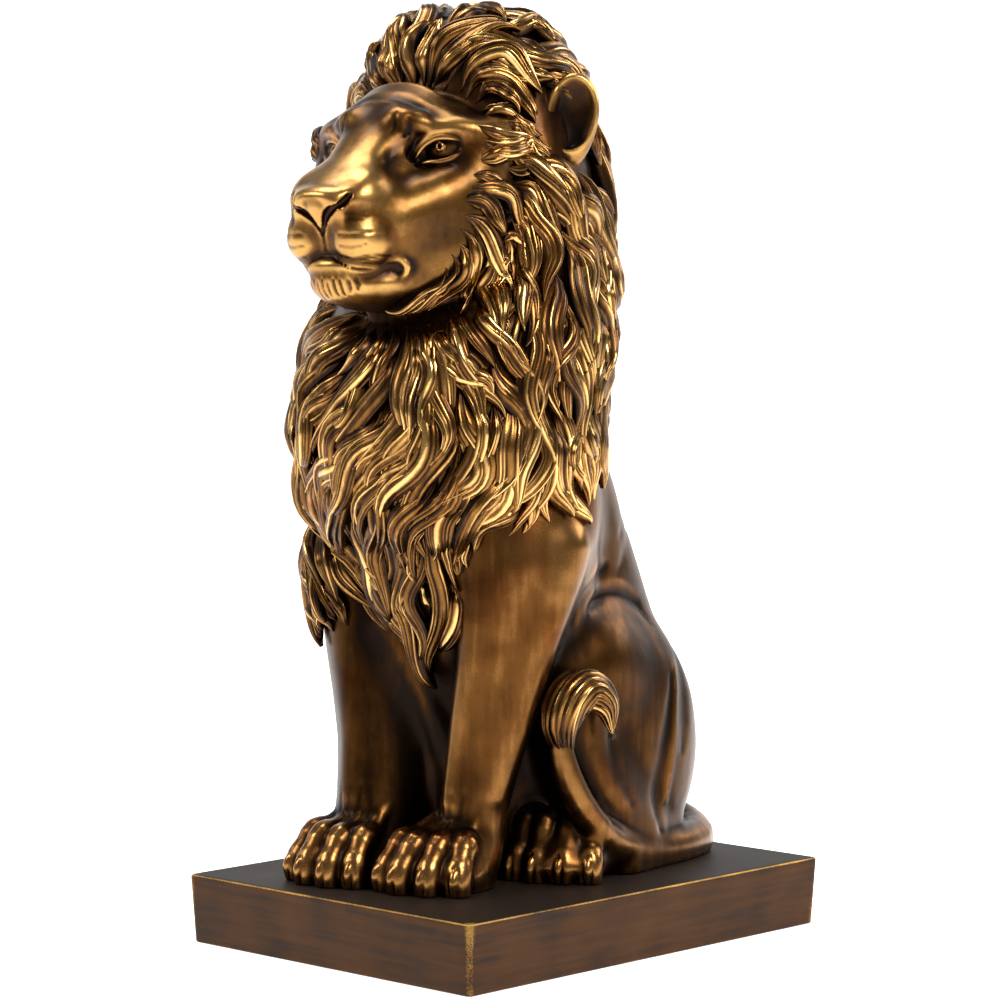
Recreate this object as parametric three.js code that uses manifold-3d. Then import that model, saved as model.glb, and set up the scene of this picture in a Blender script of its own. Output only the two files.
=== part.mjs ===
// Seated lion statuette on its plinth, cast in resin.
// Millimetres, +Z up, the lion faces -Y and its left side is +X.
// The origin is the bottom centre of the plinth.
import * as THREE from 'three';
import Module from 'manifold-3d';
import { mergeVertices } from 'three/addons/utils/BufferGeometryUtils.js';

const wasm = await Module();
wasm.setup();

// Plinth
const PLINTH_WIDTH = 168;
const PLINTH_DEPTH = 220;
const PLINTH_HEIGHT = 29.5;
const PLINTH_DRAFT = 1.4;
const PLINTH_EDGE = 1.1;
const PLINTH_CORNER = 1.6;

// Head: the point midway between the eyes, and the turn of the face to the lion's left
const EYE_LINE = new THREE.Vector3(0.5, -72, 337.5);
const FACE_TURN = THREE.MathUtils.degToRad(7);
const EYE_SPACING = 53;
const EAR_SPACING = 118;
const MUZZLE_LENGTH = 51;

// Mane: axis and rows of locks
const MANE_LOCK_ROWS = [
  { z: 378, count: 9, length: 56, width: 24, sweep: 0.34 },
  { z: 328, count: 9, length: 68, width: 29, sweep: 0.24 },
  { z: 270, count: 10, length: 72, width: 27, sweep: -0.16 },
];
const LOCK_RISE = 3.2;
const LOCK_WAVE = 0.085;

// Paws: four toes abreast
const TOES = 4;
const PAW_HEIGHT = 25;

// Facets round each kind of part, and steps along a lock
const BODY_SIDES = 18;
const LIMB_SIDES = 12;
const TOE_SIDES = 6;
const LOCK_SIDES = 4;
const LOCK_STEPS = 4;
const MANE_SIDES = 18;
const HEAD_SIDES = 14;

// A closed skin over rings of equal point count, with a fan over each end ring
function skin(rings) {
  const count = rings[0].length;
  const points = rings.flat();
  const index = [];
  for (let r = 0; r + 1 < rings.length; r += 1) {
    for (let i = 0; i < count; i += 1) {
      const a = r * count + i;
      const b = r * count + ((i + 1) % count);
      index.push(a, b, b + count, a, b + count, a + count);
    }
  }
  const first = points.length;
  points.push(middle(rings[0]), middle(rings[rings.length - 1]));
  const lastRing = (rings.length - 1) * count;
  for (let i = 0; i < count; i += 1) {
    const j = (i + 1) % count;
    index.push(first, j, i);
    index.push(first + 1, lastRing + i, lastRing + j);
  }
  return solid(points, index);
}

// The middle of a ring of points
function middle(ring) {
  const sum = ring.reduce((total, point) => total.add(point), new THREE.Vector3());
  return sum.divideScalar(ring.length);
}

// A manifold solid from points and triangles, turned right side out where needed
function solid(points, index) {
  let volume = 0;
  for (let t = 0; t < index.length; t += 3) {
    const [a, b, c] = [points[index[t]], points[index[t + 1]], points[index[t + 2]]];
    volume += a.dot(new THREE.Vector3().crossVectors(b, c));
  }
  const triVerts = Uint32Array.from(volume < 0 ? [...index].reverse() : index);
  const vertProperties = Float32Array.from(points.flatMap((p) => [p.x, p.y, p.z]));
  return new wasm.Manifold(new wasm.Mesh({ numProp: 3, vertProperties, triVerts }));
}

// A three.js geometry as a manifold solid
function fromGeometry(geometry) {
  const bare = geometry.clone();
  bare.deleteAttribute('normal');
  bare.deleteAttribute('uv');
  const merged = mergeVertices(bare, 1e-4);
  const position = merged.getAttribute('position');
  const points = [];
  for (let i = 0; i < position.count; i += 1) {
    points.push(new THREE.Vector3().fromBufferAttribute(position, i));
  }
  return solid(points, Array.from(merged.index.array));
}

// All the solids of a list joined in one
function join(solids) {
  return solids.reduce((whole, next) => whole.add(next));
}

// A round or oval body made of level rings: each station is height, centre and half-widths
function stack(stations, sides, fullness = 2) {
  const rings = stations.map(([z, x, y, halfX, halfY]) => {
    const ring = [];
    for (let i = 0; i < sides; i += 1) {
      const turn = (2 * Math.PI * i) / sides;
      const power = 2 / fullness;
      const across = Math.sign(Math.cos(turn)) * Math.abs(Math.cos(turn)) ** power;
      const along = Math.sign(Math.sin(turn)) * Math.abs(Math.sin(turn)) ** power;
      ring.push(new THREE.Vector3(x + halfX * across, y + halfY * along, z));
    }
    return ring;
  });
  return skin(rings);
}

// A limb that follows a smooth curve through its joints, with a radius at each joint
function limb(joints, sides = LIMB_SIDES - 2, steps = joints.length + 2) {
  const curve = new THREE.CatmullRomCurve3(joints.map(([x, y, z]) => new THREE.Vector3(x, y, z)));
  const frames = curve.computeFrenetFrames(steps, false);
  const rings = [];
  for (let s = 0; s <= steps; s += 1) {
    const at = curve.getPoint(s / steps);
    const place = (s / steps) * (joints.length - 1);
    const before = Math.min(Math.floor(place), joints.length - 2);
    const radius = THREE.MathUtils.lerp(joints[before][3], joints[before + 1][3], place - before);
    const ring = [];
    for (let i = 0; i < sides; i += 1) {
      const turn = (2 * Math.PI * i) / sides;
      const point = at.clone();
      point.addScaledVector(frames.normals[s], radius * Math.cos(turn));
      point.addScaledVector(frames.binormals[s], radius * Math.sin(turn));
      ring.push(point);
    }
    rings.push(ring);
  }
  return skin(rings);
}

// An egg-shaped mass with its own half-sizes, turned about the vertical and tipped about X
function mass(centre, halfSizes, turn = 0, tip = 0, detail = 8) {
  const geometry = new THREE.SphereGeometry(1, detail + 2, Math.round(detail * 0.7));
  geometry.scale(...halfSizes);
  geometry.rotateX(tip);
  geometry.rotateZ(turn);
  geometry.translate(...centre);
  return fromGeometry(geometry);
}

// The plinth: a block with a slight draft, worn edges and small round corners
function makePlinth() {
  const levels = [
    [0, PLINTH_DRAFT + PLINTH_EDGE * 0.6],
    [PLINTH_EDGE * 0.6, PLINTH_DRAFT],
    [PLINTH_HEIGHT - PLINTH_EDGE, 0],
    [PLINTH_HEIGHT - PLINTH_EDGE * 0.3, PLINTH_EDGE * 0.3],
    [PLINTH_HEIGHT, PLINTH_EDGE],
  ];
  const arcSteps = 2;
  const rings = levels.map(([z, inset]) => {
    const ring = [];
    for (let corner = 0; corner < 4; corner += 1) {
      const start = (corner * Math.PI) / 2;
      const signX = corner === 0 || corner === 3 ? 1 : -1;
      const signY = corner < 2 ? 1 : -1;
      for (let i = 0; i <= arcSteps; i += 1) {
        const turn = start + (i / arcSteps) * (Math.PI / 2);
        const x = signX * (PLINTH_WIDTH / 2 - PLINTH_CORNER - inset) + PLINTH_CORNER * Math.cos(turn);
        const y = signY * (PLINTH_DEPTH / 2 - PLINTH_CORNER - inset) + PLINTH_CORNER * Math.sin(turn);
        ring.push(new THREE.Vector3(x, y, z));
      }
    }
    return ring;
  });
  return skin(rings);
}

// Torso: rump low at the back, rising forward to the shoulders
function makeTorso() {
  const base = PLINTH_HEIGHT;
  const back = stack([
    [base - 3, 0, 44, 34, 46],
    [45, 0, 43, 42, 52],
    [65, 0, 42, 46, 57],
    [85, 0, 41, 47, 59],
    [110, 0, 36, 45, 57],
    [135, 0, 25, 43, 50],
    [160, 0, 15, 43, 48],
    [185, 0, 6, 44, 44],
    [210, 0, -4, 44, 42],
    [240, 0, -12, 40, 38],
    [262, 0, -16, 26, 26],
  ], BODY_SIDES, 2.15);
  const chest = stack([
    [base - 3, -6, -13, 31, 24],
    [60, -6, -13, 31, 27],
    [100, -5, -14, 31, 29],
    [128, -1, -22, 36, 32],
    [155, -2, -28, 46, 38],
    [185, -2, -30, 50, 40],
    [220, -2, -30, 46, 40],
    [250, -2, -30, 30, 30],
  ], BODY_SIDES, 2.1);
  return join([back, chest]);
}

// Foreleg from the shoulder to the wrist
function makeForeleg(side, forward) {
  const shoulderX = side * 34;
  const wristX = side * 22;
  const ankle = PLINTH_HEIGHT + 17;
  return stack([
    [ankle - 14, wristX, forward - 54, 17, 17],
    [ankle, wristX, forward - 47, 16, 17],
    [60, wristX, forward - 43, 14.5, 15],
    [84, wristX + side * 2.5, forward - 38, 15.5, 16.5],
    [110, wristX + side * 6.5, forward - 34, 17.5, 19],
    [138, shoulderX - side * 2, forward - 29, 20.5, 22.5],
    [165, shoulderX + side * 1, forward - 24, 22, 27],
    [190, shoulderX, forward - 20, 19, 27],
    [215, shoulderX - side * 4, forward - 16, 13, 22],
  ], LIMB_SIDES);
}

// Paw with four knuckled toes: centre of its heel, heading (radians from straight ahead) and size
function makePaw(heel, heading, length, width) {
  const forward = new THREE.Vector3(Math.sin(heading), -Math.cos(heading), 0);
  const across = new THREE.Vector3(Math.cos(heading), Math.sin(heading), 0);
  const at = (ahead, aside, up) => heel.clone()
    .addScaledVector(forward, ahead)
    .addScaledVector(across, aside)
    .setZ(PLINTH_HEIGHT + up)
    .toArray();
  const pad = [width * 0.46, length * 0.42, PAW_HEIGHT * 0.56];
  const pieces = [mass(at(length * 0.36, 0, PAW_HEIGHT * 0.38), pad, heading)];
  const toeHalf = (width / TOES) * 0.6;
  for (let toe = 0; toe < TOES; toe += 1) {
    const aside = ((toe + 0.5) / TOES - 0.5) * (width - toeHalf * 0.5);
    const middleToe = toe === 1 || toe === 2;
    const ahead = length * (middleToe ? 0.76 : 0.68);
    pieces.push(limb([
      [...at(ahead - 17, aside, PAW_HEIGHT * 0.4), toeHalf],
      [...at(ahead - 7, aside, PAW_HEIGHT * 0.68), toeHalf * 1.1],
      [...at(ahead + 3, aside, PAW_HEIGHT * 0.45), toeHalf * 1.15],
      [...at(ahead + 7, aside, PAW_HEIGHT * 0.12), toeHalf * 0.95],
    ], TOE_SIDES, 4));
  }
  return join(pieces);
}

// Haunch: thigh, knee and the foot that lies under it
function makeHaunch(side) {
  const heading = side * 0.42;
  const thigh = mass([side * 33, 27, 96], [24, 44, 50], side * -0.12, 0, 13);
  const knee = mass([side * 37, 12, 118], [20, 27, 28], 0, 0, 10);
  const shank = limb([
    [side * 36, -2, 118, 15],
    [side * 38, 2, 88, 15],
    [side * 39, 18, 62, 14],
    [side * 38, 44, 46, 14],
  ]);
  const foot = limb([
    [side * 36, 56, 42, 12],
    [side * 39, 30, 41, 13],
    [side * 41, 6, 43, 14],
    [side * 43, -10, 43, 13],
  ]);
  const paw = makePaw(new THREE.Vector3(side * 38, 4, 0), heading, 46, 37);
  return join([thigh, knee, shank, foot, paw]);
}

// Tail: round the rump on the plinth, up over the left foot, ending in a curled tuft
function makeTail() {
  const tail = limb([
    [-6, 96, 52, 8],
    [16, 97, 40, 8],
    [33, 86, 37, 7.5],
    [41, 64, 37, 7.5],
    [43, 42, 39, 8.5],
    [47, 22, 43, 9],
    [50, 4, 50, 9.5],
    [51, -9, 64, 9],
    [50, -18, 80, 8.5],
    [49, -23, 96, 8],
  ], 9, 13);
  const tuft = limb([
    [49, -22, 92, 7.5],
    [50, -20, 106, 9.5],
    [52, -11, 114, 10.5],
    [54, -1, 108, 9.5],
    [56, 3, 99, 6.5],
    [58, 3, 88, 1.2],
  ], 9, 7);
  return tail.add(tuft);
}

// Mane mass: height, centre, half-width, and depth to the front and to the back of each section
const MANE_SECTIONS = [
  [188, -3, -34, 50, 46, 44],
  [205, -4, -32, 60, 56, 54],
  [225, -4, -30, 66, 64, 62],
  [250, -4, -28, 68, 66, 66],
  [268, -4, -26, 68, 56, 66],
  [285, -4, -24, 67, 38, 62],
  [318, -4, -21, 64, 34, 56],
  [345, -4, -20, 60, 39, 49],
  [370, -4, -19, 51, 41, 42],
  [386, -4, -19, 40, 35, 34],
  [395, -4, -19, 28, 25, 24],
  [400.5, -4, -19, 11, 10, 10],
];

// The mane section at a height, worked out between the two nearest stations
function maneSection(z) {
  const above = MANE_SECTIONS.findIndex((section) => section[0] >= z);
  const upper = above < 0 ? MANE_SECTIONS.length - 1 : Math.max(above, 1);
  const low = MANE_SECTIONS[upper - 1];
  const high = MANE_SECTIONS[upper];
  const share = THREE.MathUtils.clamp((z - low[0]) / (high[0] - low[0]), 0, 1);
  return low.map((value, i) => THREE.MathUtils.lerp(value, high[i], share));
}

// A point of the mane surface, raised by a height above it: turn 0 is straight ahead
function manePoint(turn, z, rise) {
  const [, x, y, halfX, front, back] = maneSection(z);
  const depth = Math.cos(turn) > 0 ? front : back;
  return new THREE.Vector3(
    x + (halfX + rise) * Math.sin(turn),
    y - (depth + rise) * Math.cos(turn),
    z,
  );
}

// One lock of hair: a tapered blade that lies on the mane and waves from side to side
function makeLock(turn, z, length, width, sweep) {
  const rings = [];
  for (let s = 0; s <= LOCK_STEPS; s += 1) {
    const t = s / LOCK_STEPS;
    const wave = LOCK_WAVE * Math.sin(2 * Math.PI * t);
    const height = z - length * t;
    const spot = turn + sweep * t * Math.sign(turn || 1) + wave;
    const swell = Math.sin(Math.PI * (0.12 + 0.86 * t)) ** 0.8;
    const half = 0.5 * width * swell + 0.3;
    const rise = LOCK_RISE * swell;
    const centre = manePoint(spot, height, rise - 1.5);
    const across = manePoint(spot + 0.01, height, 0).sub(manePoint(spot - 0.01, height, 0)).normalize();
    const out = new THREE.Vector3().crossVectors(across, new THREE.Vector3(0, 0, 1));
    const ring = [];
    for (let i = 0; i < LOCK_SIDES; i += 1) {
      const angle = (2 * Math.PI * i) / LOCK_SIDES;
      const point = centre.clone();
      point.addScaledVector(across, half * Math.cos(angle));
      point.addScaledVector(out, (rise + 1) * Math.sin(angle));
      ring.push(point);
    }
    rings.push(ring);
  }
  return skin(rings);
}

// Mane: the mass, the bib that runs to a point between the forelegs, and rows of locks
function makeMane() {
  const ruff = skin(MANE_SECTIONS.map(([z]) => {
    const ring = [];
    for (let i = 0; i < MANE_SIDES; i += 1) {
      ring.push(manePoint((2 * Math.PI * i) / MANE_SIDES, z, 0));
    }
    return ring;
  }));
  const bib = stack([
    [124, 0, -44, 2, 3],
    [134, 0, -45, 12, 12],
    [150, -1, -47, 22, 20],
    [168, -2, -46, 32, 29],
    [188, -3, -43, 45, 38],
    [208, -4, -38, 56, 50],
    [228, -4, -34, 58, 56],
  ], BODY_SIDES);
  const locks = [];
  MANE_LOCK_ROWS.forEach((row, rank) => {
    for (let i = 0; i < row.count; i += 1) {
      const turn = ((i + 0.5 * (rank % 2)) / row.count) * 2 * Math.PI - Math.PI;
      const overFace = Math.abs(turn) < (row.z > 300 ? 1.0 : 0);
      if (!overFace) {
        locks.push(makeLock(turn, row.z, row.length, row.width, row.sweep));
      }
    }
  });
  for (const [turn, z] of [[-0.52, 214], [-0.17, 210], [0.17, 210], [0.52, 214]]) {
    const inward = -0.55 * Math.abs(turn);
    locks.push(makeLock(turn, z, 44, 16, inward));
  }
  return join([ruff, bib, ...locks]);
}

// A place on the head: aside is towards the lion's left, ahead is along the muzzle
function headPlace(aside, ahead, up) {
  const forward = new THREE.Vector3(Math.sin(FACE_TURN), -Math.cos(FACE_TURN), 0);
  const across = new THREE.Vector3(Math.cos(FACE_TURN), Math.sin(FACE_TURN), 0);
  return EYE_LINE.clone()
    .addScaledVector(forward, ahead)
    .addScaledVector(across, aside)
    .add(new THREE.Vector3(0, 0, up))
    .toArray();
}

// A mass placed on the head
function headMass(place, halfSizes, tip = 0, detail = 8) {
  return mass(headPlace(...place), halfSizes, FACE_TURN, tip, detail);
}

// Ear: an upright oval with a hollow front
function makeEar(side) {
  const place = [side * EAR_SPACING * 0.5, -50, 18];
  const shell = headMass(place, [14, 9, 19], 0.1, 10);
  const cup = headMass([place[0], place[1] + 8, place[2] + 1], [9.5, 8, 14], 0.1, 7);
  return shell.subtract(cup);
}

// Head mass: how far ahead of the eyes each section is, its half-width, top, bottom and fullness
const HEAD_SECTIONS = [
  [-46, 38, 14, -46, 2.1],
  [-26, 47, 21, -56, 2.2],
  [-8, 46, 22, -60, 2.3],
  [4, 38, 15, -61, 2.4],
  [16, 29, 2, -61, 2.6],
  [27, 24, -7, -62, 2.8],
  [37, 20.5, -13, -60, 2.8],
  [45, 17, -17, -50, 2.6],
  [MUZZLE_LENGTH, 9.5, -22, -44, 2.2],
];

// Head: the mass from skull to muzzle, with brows, eyes, nose, lips and chin upon it
function makeHead() {
  const rings = HEAD_SECTIONS.map(([ahead, half, top, bottom, fullness]) => {
    const ring = [];
    for (let i = 0; i < HEAD_SIDES; i += 1) {
      const turn = (2 * Math.PI * i) / HEAD_SIDES;
      const power = 2 / fullness;
      const aside = half * Math.sign(Math.cos(turn)) * Math.abs(Math.cos(turn)) ** power;
      const rise = Math.sign(Math.sin(turn)) * Math.abs(Math.sin(turn)) ** power;
      const up = (top + bottom) / 2 + ((top - bottom) / 2) * rise;
      ring.push(new THREE.Vector3(...headPlace(aside, ahead, up)));
    }
    return ring;
  });
  const nose = headMass([0, MUZZLE_LENGTH - 3, -23], [12, 6.5, 6], -0.3);
  const chin = headMass([0, MUZZLE_LENGTH - 17, -57], [13, 12, 9], 0.2);
  const pieces = [skin(rings), nose, chin];
  for (const side of [-1, 1]) {
    pieces.push(headMass([side * 9.5, MUZZLE_LENGTH - 13, -38], [11.5, 14, 12], 0.15));
    pieces.push(headMass([side * EYE_SPACING * 0.5, 2, 0], [7.5, 6, 5]));
    pieces.push(headMass([side * EYE_SPACING * 0.44, 3, 10], [12, 7, 4.5]));
  }
  return join(pieces);
}

// The whole lion as one casting, cut off flat where it sits on the plinth
function makeLion() {
  const pieces = [makeTorso(), makeTail(), makeMane(), makeHead()];
  const stance = { 1: -1, '-1': -11 };
  for (const side of [-1, 1]) {
    const forward = stance[side];
    pieces.push(makeForeleg(side, forward));
    const heading = side > 0 ? 0.2 : -0.03;
    pieces.push(makePaw(new THREE.Vector3(side * 21.5, forward - 41, 0), heading, 52, 43));
    pieces.push(makeHaunch(side));
    pieces.push(makeEar(side));
  }
  const whole = join(pieces);
  const room = new THREE.BoxGeometry(400, 400, 600);
  room.translate(0, 0, PLINTH_HEIGHT + 300);
  return whole.intersect(fromGeometry(room));
}

// The triangles of the outer skin: small pockets shut in where masses overlap are filled in
function outerSkin(vertexCount, triVerts) {
  const parent = Array.from({ length: vertexCount }, (_, i) => i);
  const root = (i) => {
    let at = i;
    while (parent[at] !== at) {
      parent[at] = parent[parent[at]];
      at = parent[at];
    }
    return at;
  };
  const sizes = new Map();
  for (let t = 0; t < triVerts.length; t += 3) {
    parent[root(triVerts[t + 1])] = root(triVerts[t]);
    parent[root(triVerts[t + 2])] = root(triVerts[t]);
  }
  for (let t = 0; t < triVerts.length; t += 3) {
    const key = root(triVerts[t]);
    sizes.set(key, (sizes.get(key) ?? 0) + 1);
  }
  const [largest] = [...sizes.entries()].reduce((best, entry) => (entry[1] > best[1] ? entry : best));
  return Array.from(triVerts).filter((_, i) => root(triVerts[i - (i % 3)]) === largest);
}

// A solid's outer skin as a three.js geometry, its seat on the plinth exactly level
function toGeometry(manifold) {
  const { vertProperties, triVerts } = manifold.getMesh();
  const position = Float32Array.from(vertProperties);
  for (let i = 2; i < position.length; i += 3) {
    if (Math.abs(position[i] - PLINTH_HEIGHT) < 1e-3) {
      position[i] = PLINTH_HEIGHT;
    }
  }
  const geometry = new THREE.BufferGeometry();
  geometry.setAttribute('position', new THREE.BufferAttribute(position, 3));
  geometry.setIndex(outerSkin(position.length / 3, triVerts));
  geometry.computeVertexNormals();
  return geometry;
}

// A named mesh in its finish
function namedMesh(name, manifold, finish) {
  const mesh = new THREE.Mesh(toGeometry(manifold), new THREE.MeshStandardMaterial(finish));
  mesh.name = name;
  return mesh;
}

const statue = new THREE.Group();
statue.add(namedMesh('lion', makeLion(), { color: 0x8a632c, metalness: 0.85, roughness: 0.36 }));
statue.add(namedMesh('plinth', makePlinth(), { color: 0x4e3a2a, metalness: 0.1, roughness: 0.5 }));

export default statue;
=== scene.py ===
"""Seated lion statuette: cast resin, bronzed, with gold rubbed over the carving, on its plinth.

Sizes are in millimetres in the statue's own frame: +Z up, the lion faces -Y, its left side is +X.
"""

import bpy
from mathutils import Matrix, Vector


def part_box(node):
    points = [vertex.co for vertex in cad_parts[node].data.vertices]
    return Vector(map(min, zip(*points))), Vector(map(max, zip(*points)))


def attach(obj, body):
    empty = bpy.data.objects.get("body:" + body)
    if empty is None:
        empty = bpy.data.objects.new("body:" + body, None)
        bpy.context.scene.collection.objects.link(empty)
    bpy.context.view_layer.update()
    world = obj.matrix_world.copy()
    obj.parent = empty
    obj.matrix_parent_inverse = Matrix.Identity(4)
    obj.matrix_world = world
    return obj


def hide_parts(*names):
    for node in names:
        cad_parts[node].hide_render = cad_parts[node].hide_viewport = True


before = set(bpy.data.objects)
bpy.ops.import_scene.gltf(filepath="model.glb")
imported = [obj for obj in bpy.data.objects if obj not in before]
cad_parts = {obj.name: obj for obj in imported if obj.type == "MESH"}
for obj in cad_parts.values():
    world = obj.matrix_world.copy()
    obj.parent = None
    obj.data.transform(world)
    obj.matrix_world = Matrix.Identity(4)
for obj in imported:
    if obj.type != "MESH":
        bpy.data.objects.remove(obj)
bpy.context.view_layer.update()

import copy
import logging
import math
from dataclasses import dataclass, field
from enum import Enum
from typing import Callable, Iterator

import bpy
import numpy as np
from mathutils import Vector

LOG = logging.getLogger("lion_statue")
MM = 0.001
FAR = 400.0
BEYOND = 4 * FAR
Array = np.ndarray
CORNERS = np.array([[(number >> axis) & 1 for axis in range(3)] for number in range(8)])

PLINTH_LOW = np.array(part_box("plinth")[0]) / MM
PLINTH_HIGH = np.array(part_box("plinth")[1]) / MM
SEAT = float(PLINTH_HIGH[2])

# The head's own frame: its origin between the eyes, and its axes aside (to the lion's left), back and up.
EYE_LINE = np.array([0.5, -72.0, 337.5])
FACE_TURN = math.radians(7)
HEAD_AXES = np.array(
    [[math.cos(FACE_TURN), math.sin(FACE_TURN), 0], [-math.sin(FACE_TURN), math.cos(FACE_TURN), 0], [0, 0, 1]]
)


# Small numeric helpers

def smooth_step(value: Array, low: float, high: float) -> Array:
    """Rise from 0 at low to 1 at high along a cubic with level ends.

    Args:
        value: The numbers to map.
        low: Where the rise starts.
        high: Where the rise ends.

    Returns:
        3 t^2 - 2 t^3 of the clamped share t.
    """
    share = np.clip((value - low) / (high - low), 0, 1)
    return share * share * (3 - 2 * share)


def cloud_noise(points: Array, size: float, seed: int) -> Array:
    """Smooth value noise between 0 and 1.

    Each corner of a lattice of cubes has a hashed value, and the eight corners round a point are
    blended with a smooth step along each axis.

    Args:
        points: Places, one row each, in millimetres.
        size: Edge of a lattice cube.
        seed: Picks another pattern.

    Returns:
        One value per row.
    """
    scaled = points / size
    base = np.floor(scaled).astype(np.int64)
    part = scaled - base
    part = part * part * (3 - 2 * part)
    total = np.zeros(len(points))
    for corner in CORNERS:
        cell = base + corner
        mixed = cell[:, 0] * 73856093 ^ cell[:, 1] * 19349663 ^ cell[:, 2] * 83492791 ^ seed * 2654435761
        mixed = (mixed ^ (mixed >> 13)) * 1274126177 & 0xFFFFFFFF
        value = ((mixed ^ (mixed >> 16)) & 0xFFFF) / 65535.0
        total += value * np.prod(np.where(corner == 1, part, 1 - part), axis=1)
    return total


def layered_noise(points: Array, size: float, seed: int, layers: int = 3) -> Array:
    """Sum of cloud noise at halving sizes and weights, scaled back to 0 to 1.

    Args:
        points: Places, one row each.
        size: Edge of the coarsest layer's cubes.
        seed: Picks another pattern.
        layers: How many sizes are added.

    Returns:
        One value per row.
    """
    weights = 0.5 ** np.arange(layers)
    total = np.zeros(len(points))
    for layer, weight in enumerate(weights):
        total += weight * cloud_noise(points, size * weight, seed + layer)
    return total / weights.sum()


def unit(rows: Array) -> Array:
    """Vectors along the last axis, scaled to length 1."""
    return rows / np.maximum(np.linalg.norm(rows, axis=-1, keepdims=True), 1e-6)


def box_corners(low: Array, high: Array) -> Array:
    """The eight corners of a box, one row each."""
    return np.where(CORNERS == 1, high, low)


def other_axes(axis: int) -> list[int]:
    """The two axes besides one, in order."""
    return [k for k in range(3) if k != axis]


def cell_faces(a: Array, b: Array, c: Array, d: Array) -> Array:
    """Both triangles of each four-sided cell whose corners' point numbers are given in order."""
    return np.concatenate([np.stack(corners, -1).reshape(-1, 3) for corners in ((a, b, c), (a, c, d))])


def smooth_path(joints: Array, count: int) -> Array:
    """Points along a Catmull-Rom curve through joints.

    Args:
        joints: Rows of place and any further numbers, such as a radius.
        count: Number of points wanted.

    Returns:
        Rows of the same width, evenly spaced in the curve's own measure.
    """
    joints = np.asarray(joints, float)
    padded = np.vstack([2 * joints[0] - joints[1], joints, 2 * joints[-1] - joints[-2]])
    at = np.linspace(0, len(joints) - 1, count)
    span = np.minimum(at.astype(int), len(joints) - 2)
    t = (at - span)[:, None]
    p0, p1, p2, p3 = (padded[span + k] for k in range(4))
    curve = 2 * p1 + (p2 - p0) * t + (2 * p0 - 5 * p1 + 4 * p2 - p3) * t ** 2
    return 0.5 * (curve + (3 * p1 - p0 - 3 * p2 + p3) * t ** 3)


def runs(path: Array, places: tuple) -> Iterator[tuple]:
    """Walk the straight runs of a path and measure places against each.

    Args:
        path: Points with as many coordinates as places has, and maybe a radius.
        places: One coordinate array per axis.

    Yields:
        The run's number, its two ends, the share along it (0 to 1) and the squared gap to it.
    """
    axes = range(len(places))
    for number, (a, b) in enumerate(zip(path[:-1], path[1:])):
        step = (b - a)[:len(places)]
        share = np.clip(sum((places[k] - a[k]) * step[k] for k in axes) / max(step @ step, 1e-6), 0, 1)
        yield number, a, b, share, sum((places[k] - a[k] - share * step[k]) ** 2 for k in axes)


# Modelling shapes: each gives its signed distance, negative inside

class Join(Enum):
    """How a shape meets the clay that is already there."""

    LAY = 1
    CUT = -1


@dataclass(frozen=True)
class Egg:
    """An ellipsoid with half-sizes radii, turned about Z, leaned about Y and tipped about X (degrees)."""

    centre: tuple
    radii: tuple
    turn: float = 0.0
    tip: float = 0.0
    lean: float = 0.0

    def reach(self) -> tuple[Array, Array]:
        """Lowest and highest corner of a box round the shape."""
        centre = np.array(self.centre, float)
        return centre - max(self.radii), centre + max(self.radii)

    def axes(self) -> Array:
        """Rows are the shape's own axes in the statue's frame: Rz(turn) Ry(lean) Rx(tip), transposed."""
        a, b, c = (math.radians(v) for v in (self.turn, self.lean, self.tip))
        about_z = np.array([[math.cos(a), -math.sin(a), 0], [math.sin(a), math.cos(a), 0], [0, 0, 1]])
        about_y = np.array([[math.cos(b), 0, math.sin(b)], [0, 1, 0], [-math.sin(b), 0, math.cos(b)]])
        about_x = np.array([[1, 0, 0], [0, math.cos(c), -math.sin(c)], [0, math.sin(c), math.cos(c)]])
        return (about_z @ about_y @ about_x).T

    def distance(self, x: Array, y: Array, z: Array) -> Array:
        """Distance estimate k0 (k0 - 1) / k1, where k0 = |p / r| and k1 = |p / r^2|."""
        dx, dy, dz = x - self.centre[0], y - self.centre[1], z - self.centre[2]
        own = [row[0] * dx + row[1] * dy + row[2] * dz for row in self.axes().astype(np.float32)]
        k0 = np.sqrt(sum((own[i] / self.radii[i]) ** 2 for i in range(3)))
        k1 = np.sqrt(sum((own[i] / self.radii[i] ** 2) ** 2 for i in range(3)))
        return k0 * (k0 - 1) / np.maximum(k1, 1e-6)


@dataclass(frozen=True)
class Limb:
    """A round limb along a smooth curve through joints (x, y, z, radius)."""

    joints: tuple
    pieces: int = 10

    def reach(self) -> tuple[Array, Array]:
        """Lowest and highest corner of a box round the shape."""
        path = smooth_path(self.joints, self.pieces + 1)
        swell = path[:, 3:4].max()
        return path[:, :3].min(0) - swell, path[:, :3].max(0) + swell

    def distance(self, x: Array, y: Array, z: Array) -> Array:
        """Least distance to the tapered capsules between neighbouring points of the curve."""
        path = smooth_path(self.joints, self.pieces + 1).astype(np.float32)
        least = None
        for _, a, b, share, square in runs(path, (x, y, z)):
            gap = np.sqrt(square) - (a[3] + (b[3] - a[3]) * share)
            least = gap if least is None else np.minimum(least, gap)
        return least


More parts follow.
